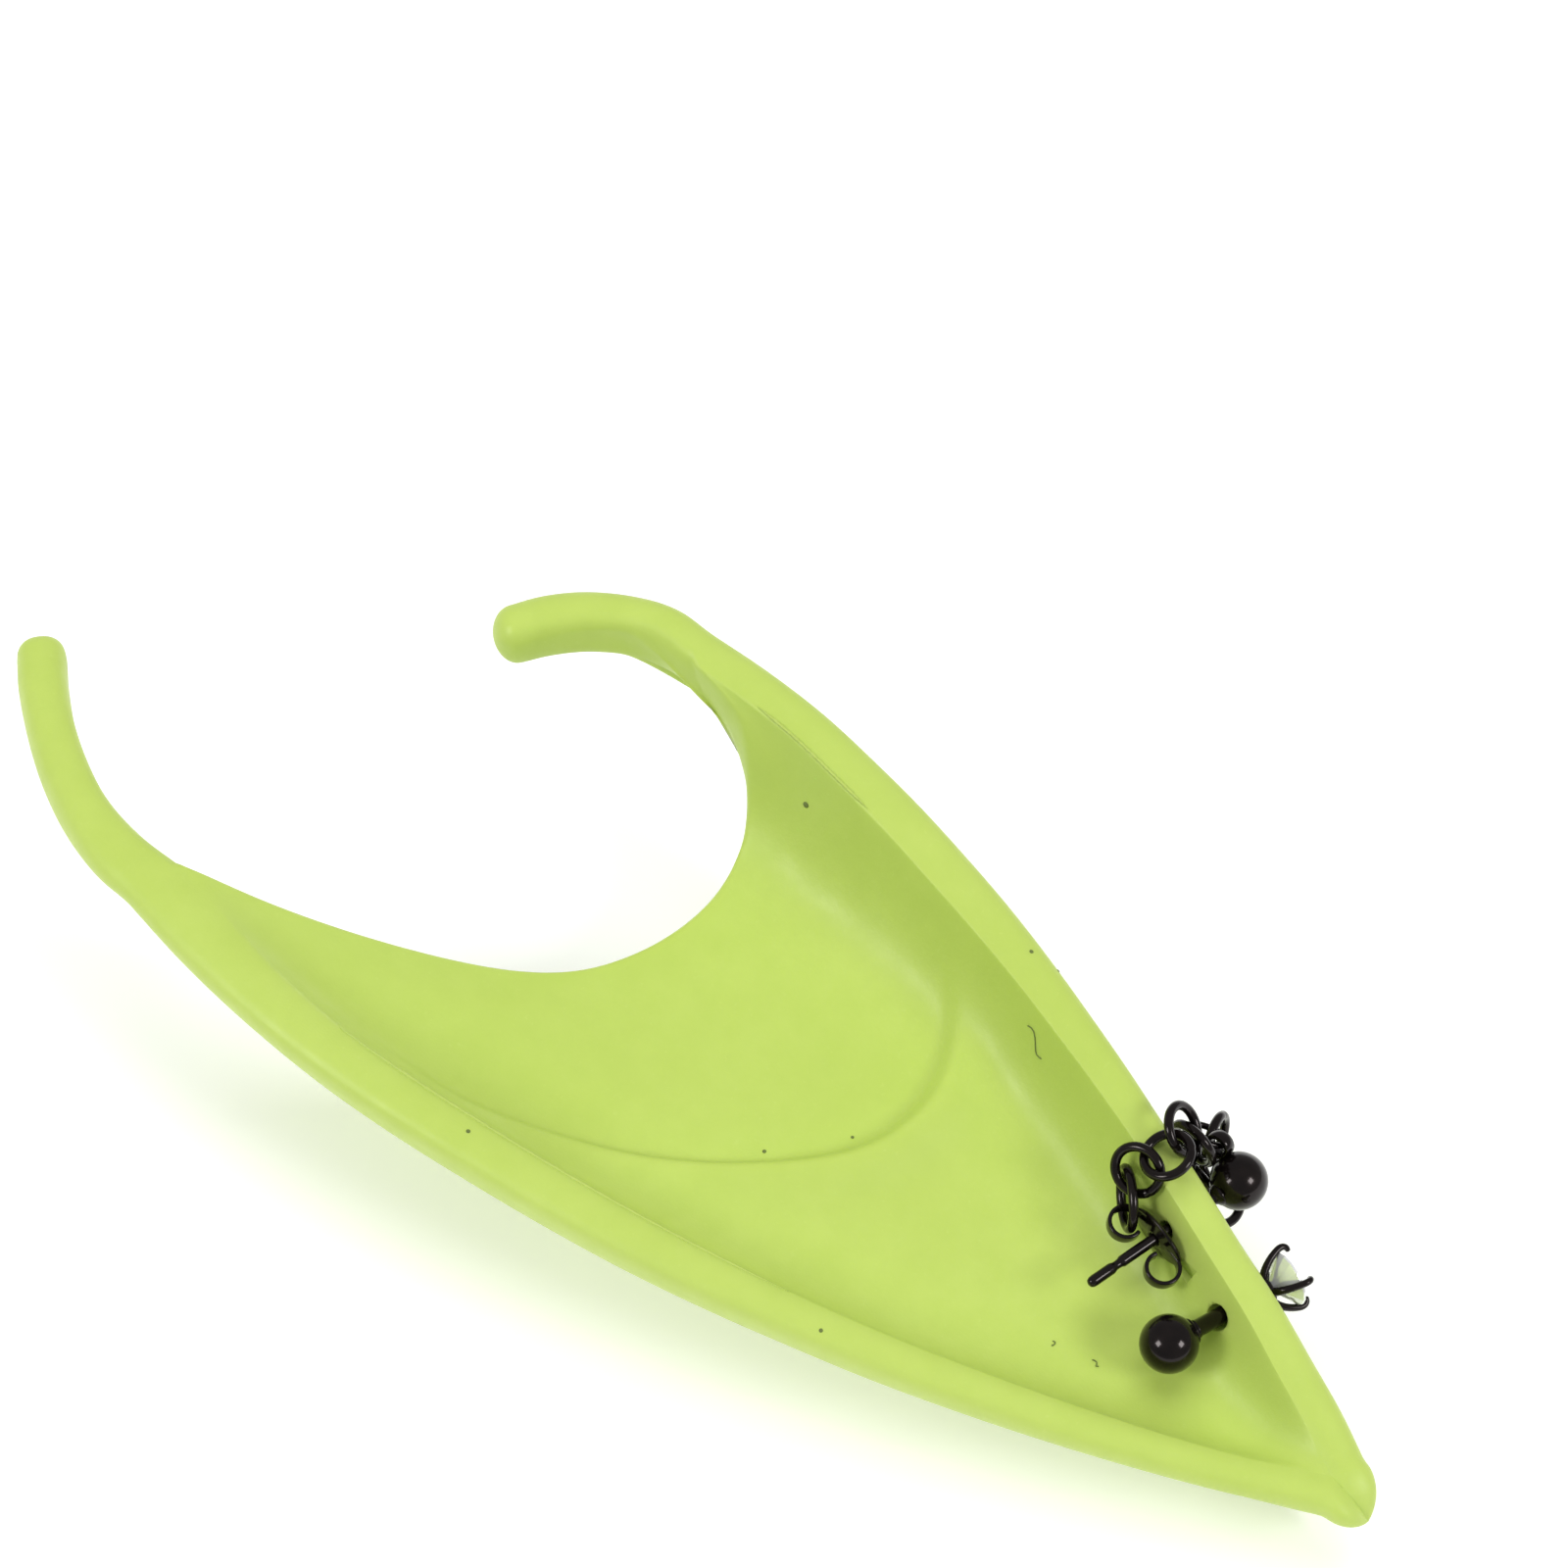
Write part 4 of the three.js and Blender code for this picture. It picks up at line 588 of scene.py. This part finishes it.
def clutch():
    path = []
    for side in (-1, 1):
        part = []
        for i in range(41):
            a = math.radians(-90 + 285 * i / 40); r = LOOP_R * (1 - 0.10 * max(i - 26, 0) / 14)
            part.append((side * (OFF + r * math.cos(a)), LOOP_R + HALF + r * math.sin(a)))
        path += part[::-1] if side < 0 else part
    P = np.array(path); T = np.gradient(P, axis=0); T /= np.linalg.norm(T, axis=1)[:, None]; N = np.stack([-T[:, 1], T[:, 0]], 1)
    verts, faces = [], []
    prof = [(-1, -0.86), (-0.6, -1), (0.6, -1), (1, -0.86), (1, 0.86), (0.6, 1), (-0.6, 1), (-1, 0.86)]
    for p, n in zip(P, N):
        for t, w in prof:
            q = p + n * t * HALF
            verts.append(SEAT + ACROSS * q[0] + STUD_DIR * q[1] + UP * (w * WIDE / 2))
    m = len(prof)
    for i in range(len(P) - 1):
        for k in range(m):
            j = (k + 1) % m; faces.append((i * m + k, (i + 1) * m + k, (i + 1) * m + j, i * m + j))
    faces.append(tuple(range(m))); faces.append(tuple(range(len(verts) - m, len(verts)))[::-1])
    # plate: oval, dished away from the loops, with a collar round the post
    pv, pf, rings = [], [], []
    rows = [(0.50, 0.42), (0.62, 0.48), (0.70, 0.34), (0.95, 0.30), (1.0, 0.27), (1.06, 0.20), (1.0, 0.02), (0.95, -0.03), (0.70, 0.0), (0.50, 0.0)]
    for j, (share, y) in enumerate(rows):
        ring = []
        for k in range(48):
            t = 2 * math.pi * k / 48; inner = share <= 0.71
            rx = share if inner else share * 2.3; ry = share if inner else share * 1.42
            if share == 0.70: rx, ry = 0.95, 0.85
            u, w = rx * math.cos(t), ry * math.sin(t)
            ring.append(len(pv)); pv.append(SEAT + ACROSS * u + UP * w + STUD_DIR * (y - 0.05 - 0.05 * (u / 2.3) ** 2))
        rings.append(ring)
    for r0, r1 in list(zip(rings, rings[1:])) + [(rings[-1], rings[0])]:
        for k in range(48):
            q = (k + 1) % 48; pf.append((r0[k], r0[q], r1[q], r1[k]))
    return merge([(verts, faces), (pv, pf)])


v, f = clutch()
o = make("butterfly_clutch_fine", v, f, BLACK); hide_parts("butterfly_clutch")
bev = o.modifiers.new("edge", "BEVEL"); bev.width = 0.00004; bev.segments = 2; bev.limit_method = "ANGLE"; bev.angle_limit = math.radians(40)

# chain from the clutch over the rim to the jump ring
LINK_R, LINK_W, END_A, END_B, JUMP_R, JUMP_W = 1.65, 0.34, 2.05, 1.45, 1.5, 0.23
CHAIN = [
    (44.65, -19.80, 11.06, 0.684, 0.714, -0.148, 0.614, -0.673, -0.413),
    (44.55, -18.67, 13.11, 0.070, -0.840, 0.538),
    (45.83, -17.20, 14.41, -0.304, -0.231, 0.924),
    (45.48, -14.88, 14.35, 0.719, 0.323, 0.616),
    (46.05, -14.17, 12.30, -0.141, -0.986, -0.087),
    (46.08, -13.97, 9.86, -0.909, -0.416, -0.043),
    (46.25, -13.51, 7.54, 0.221, 0.925, 0.309),
    (48.18, -13.33, 6.08, 0.573, -0.028, 0.819),
    (46.66, -11.97, 7.21, 0.397, 0.908, -0.130),
    (46.19, -11.39, 9.55, -0.970, -0.210, -0.126),
    (46.04, -12.60, 11.42, -0.093, 0.601, 0.794),
]
CU = SEAT - ACROSS * OFF + STUD_DIR * (LOOP_R + HALF)
for i, row in enumerate(CHAIN):
    c, n = np.array(row[:3]), unit(row[3:6])
    if i == 0:
        ax = np.array(row[6:9]); ax = unit(ax - n * (ax @ n)); b = np.cross(n, ax)
        path = [c + END_A * math.cos(t) * ax + END_B * math.sin(t) * b for t in np.linspace(0, 2 * math.pi, 72, endpoint=False)]
        v, f = tube(path, LINK_W, True); name = "chain_link_01"
    elif i < len(CHAIN) - 1:
        a, b, n = axes(n); t0 = 0.7 + 1.9 * i
        tt = np.linspace(0, 2 * math.pi, 72, endpoint=False)
        path = [c + LINK_R * (math.cos(t + t0) * a + math.sin(t + t0) * b) for t in tt]
        # the cut where the link was closed shows as a slight nick
        w = LINK_W * (1 - 0.10 * np.exp(-(np.minimum(tt, 2 * math.pi - tt) / 0.06) ** 2))
        v, f = tube(path, w, True); name = "chain_link_%02d" % (i + 1)
    else:
        a, b, n = axes(n)
        gap = unit(c - EYE); t0 = math.atan2(gap @ b, gap @ a) + 1.0
        path = [c + JUMP_R * (math.cos(t + t0) * a + math.sin(t + t0) * b) for t in np.linspace(0.05, 2 * math.pi - 0.05, 72)]
        v, f = tube(path, JUMP_W, False); name = "jump_ring"
    o = make(name + "_fine", v, f, BLACK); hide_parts(name)

# labret stud: bar, cup and four claws
Y0 = 7.6
bar = lathe([(0, 1.05), (0.56, 1.05), (0.6, 1.1), (0.6, 2.02), (0.66, 2.08), (0.66, 2.2), (0.6, 2.26), (0.6, Y0 - 0.35), (0.72, Y0 - 0.2), (0.9, Y0), (1.0, Y0 + 0.12), (1.02, Y0 + 0.3),
             (0.92, Y0 + 0.45), (0.7, Y0 + 0.5), (0.3, Y0 + 0.46), (0, Y0 + 0.46)], LABRET_DIR, LABRET, 40)
la, lb, _ = axes(LABRET_DIR)
LX = unit(np.cross(LABRET_DIR, (0, 0, 1.0)))        # level, across the bar
LZ = np.cross(LX, LABRET_DIR)
claws = []
for k in range(4):
    a = math.pi / 4 + k * math.pi / 2
    d = math.cos(a) * LX + math.sin(a) * LZ
    rows = [(0.55, 0.25, 0.30), (1.0, 0.42, 0.30), (1.45, 0.8, 0.28), (1.82, 1.3, 0.26), (2.07, 1.8, 0.25), (2.2, 2.2, 0.24), (2.16, 2.5, 0.23), (1.98, 2.68, 0.21), (1.76, 2.72, 0.17)]
    R = np.array(rows); uu = np.linspace(0, 1, 22)
    rr, yy, ww = (smooth(R[:, j], uu * (len(R) - 1)) for j in range(3))
    claws.append(tube([LABRET + d * r + LABRET_DIR * (Y0 + y) for r, y in zip(rr, yy)], ww, False, 14))
v, f = merge([bar] + claws)
o = make("labret_stud_fine", v, f, BLACK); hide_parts("labret_stud")


def brilliant():
    """Round brilliant: table, 8 kites, star and girdle facets above, 8 mains and 16 halves below."""
    r, y = 1.92, Y0 + 2.0
    P = lambda rad, h, deg: LABRET + LX * rad * math.cos(math.radians(deg)) + LZ * rad * math.sin(math.radians(deg)) + LABRET_DIR * (y + h)
    V, F = [], []

    def add(p): V.append(p); return len(V) - 1
    table = [add(P(r * 0.56, 0.62, 45 * k + 22.5)) for k in range(8)]
    mid = [add(P(r * 0.80, 0.36, 45 * k)) for k in range(8)]
    up = [add(P(r, 0.08, 22.5 * k)) for k in range(16)]
    lo = [add(P(r, -0.06, 22.5 * k)) for k in range(16)]
    low = [add(P(r * 0.28, -1.22, 45 * k + 22.5)) for k in range(8)]
    culet = add(P(0, -1.62, 0))
    F.append(tuple(table))
    for k in range(8):
        j = (k + 1) % 8; p = (k - 1) % 8
        F.append((table[p], mid[k], table[k]))                       # stars
        F.append((table[k], mid[k], up[2 * k + 1])); F.append((table[k], up[2 * k + 1], mid[j]))
        F.append((mid[k], up[2 * k], up[2 * k + 1])); F.append((mid[j], up[2 * k + 1], up[(2 * k + 2) % 16]))
        F.append((lo[2 * k], low[k], lo[2 * k + 1])); F.append((lo[2 * k + 1], low[k], lo[(2 * k + 2) % 16]))
        F.append((lo[2 * k], low[p], low[k]))
        F.append((low[p], culet, low[k]))
    for k in range(16):
        j = (k + 1) % 16; F.append((up[k], lo[k], lo[j], up[j]))
    return V, F


v, f = brilliant()
o = make("clear_stone_fine", v, f, CRYSTAL, smooth_on=False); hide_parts("clear_stone")
# inner ball, with the threaded bore's small collar
collar = lathe([(0.62, 1.80), (0.90, 1.78), (0.93, 1.86), (0.86, 1.95), (0.62, 1.97)], LABRET_DIR, LABRET, 36, closed=True)
v, f = merge([ball(LABRET, BALL_R, axis=(0.2, 0.1, 1)), collar])
o = make("labret_ball_fine", v, f, BLACK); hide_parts("labret_ball")


# -------------------------------------------------------- mould marks and dust
from mathutils.bvhtree import BVHTree
dg = bpy.context.evaluated_depsgraph_get(); dg.update()
ev = shell.evaluated_get(dg); em = ev.to_mesh()
tree = BVHTree.FromPolygons([tuple(vv.co) for vv in em.vertices], [tuple(p.vertices) for p in em.polygons]); ev.to_mesh_clear()


def on_skin(x, y):
    """Point and normal of the front surface below a plan position, in mm of the table's frame."""
    o = Vector(((x - ORIGIN[0]) * MM, (y - ORIGIN[1]) * MM, 0.06))
    hit, nor, _, _ = tree.ray_cast(o, Vector((0, 0, -1)))
    if hit is None: return None, None
    return np.array(hit) / MM + np.array(ORIGIN), np.array(nor)


def seam(name, side, s0, s1, out, w):
    """Thin mould flash that follows a rim's inner edge."""
    pts, wid = [], []
    for i, s in enumerate(np.linspace(s0, s1, 90)):
        e = inner_edge(side, s); r = rim(side, s)
        p, nrm = on_skin(e[0] + out * r["n"][0], e[1] + out * r["n"][1])
        if p is None: continue
        fade = min(1, 6 * min(i, 89 - i) / 89 + 0.15); pts.append(p + nrm * 0.02); wid.append(w * fade * (1 + 0.25 * math.sin(i * 1.7) * math.sin(i * 0.43)))
    v, f = tube(pts, wid, False, 8)
    o = make(name, v, f, LATEX); return o


seam("flash_rear", "a", 0.19, 0.555, 0.05, 0.11)
seam("flash_front", "b", 0.08, 0.22, 0.15, 0.12)

rng = np.random.default_rng(7)
parts = []
for x, y, size in [(9.55, -9.72, 0.24), (29.52, -10.27, 0.15), (31.54, -9.86, 0.13), (22.04, -30.38, 0.14), (26.06, -25.73, 0.12), (8.03, -44.51, 0.15), (34.61, -40.35, 0.14), (39.92, -40.75, 0.16), (40.02, -40.03, 0.12)]:
    p, nrm = on_skin(x, y)
    if p is not None:
        k = rng.uniform(0.7, 1.3)
        parts.append(lathe([(0, -0.05), (size * 0.9, -0.02), (size, 0.02), (size * 0.6, 0.05), (0, 0.06)], nrm, p, 12))
for (x0, y0), (x1, y1) in [((31.98, -13.84), (33.97, -14.85)), ((48.44, -28.59), (49.15, -28.79)), ((45.6, -29.2), (45.9, -29.5))]:
    pts = []
    for t in np.linspace(0, 1, 9):
        p, nrm = on_skin(mix(x0, x1, t) + 0.12 * math.sin(5 * t), mix(y0, y1, t) + 0.1 * math.sin(7 * t))
        if p is not None: pts.append(p + nrm * 0.03)
    if len(pts) > 3: parts.append(tube(pts, 0.045, False, 6))
v, f = merge(parts)
o = make("dust_and_fibres", v, f, DUST)


# ------------------------------------------------------ floor, light, camera
def stage_material():
    m, nt, p = new_material("pale_floor")
    p.inputs["Base Color"].default_value = (0.94, 0.94, 0.94, 1); p.inputs["Roughness"].default_value = 0.75
    p.inputs["Emission Color"].default_value = (1, 1, 1, 1); p.inputs["Emission Strength"].default_value = 0.22
    return m


me = bpy.data.meshes.new("floor"); s = 3.0
me.from_pydata([(-s, -s, 0), (s, -s, 0), (s, s, 0), (-s, s, 0)], [], [(0, 1, 2, 3)])
floor = bpy.data.objects.new("floor", me); me.materials.append(stage_material())
bpy.context.scene.collection.objects.link(floor)

TARGET = Vector((-12.64, 26.04, 0.0)) * MM
CAMERA = Vector((107.6, -127.8, 259.1)) * MM
cd = bpy.data.cameras.new("camera"); cam = bpy.data.objects.new("camera", cd); bpy.context.scene.collection.objects.link(cam)
cam.location = CAMERA; cam.rotation_mode = "QUATERNION"; cam.rotation_quaternion = (TARGET - CAMERA).to_track_quat("-Z", "Y")
cd.sensor_width = 36.0; cd.lens = 99.3; cd.clip_start = 0.01; cd.clip_end = 20
bpy.context.scene.camera = cam


def area(name, direction, distance, size, power, colour=(1, 1, 1), glossy=True):
    l = bpy.data.lights.new(name, "AREA"); l.shape = "RECTANGLE"; l.size, l.size_y = size; l.energy = power; l.color = colour
    ob = bpy.data.objects.new(name, l); bpy.context.scene.collection.objects.link(ob)
    d = Vector(direction).normalized(); ob.location = Vector((0.012, 0.0, 0.0)) + d * distance
    ob.rotation_mode = "QUATERNION"; ob.rotation_quaternion = (-d).to_track_quat("-Z", "Y")
    ob.visible_glossy = glossy
    return ob


def polar(az, el):
    """Direction at an azimuth measured as the camera's is, 0 in front along -Y, 90 to the right."""
    a, e = math.radians(az), math.radians(el); return (math.sin(a) * math.cos(e), -math.cos(a) * math.cos(e), math.sin(e))


area("key_left", polar(-25, 38), 0.75, (0.22, 0.22), 1.75)
area("key_right", polar(98, 38), 0.75, (0.22, 0.22), 1.75)
area("top", polar(218, 72), 0.8, (0.7, 0.7), 3.4, glossy=False)
world = bpy.data.worlds.new("studio"); bpy.context.scene.world = world; world.use_nodes = True
world.node_tree.nodes["Background"].inputs[0].default_value = (1, 1, 1, 1)
world.node_tree.nodes["Background"].inputs[1].default_value = 0.36
bpy.context.scene.view_settings.view_transform = "Standard"
bpy.context.scene.view_settings.look = "None"
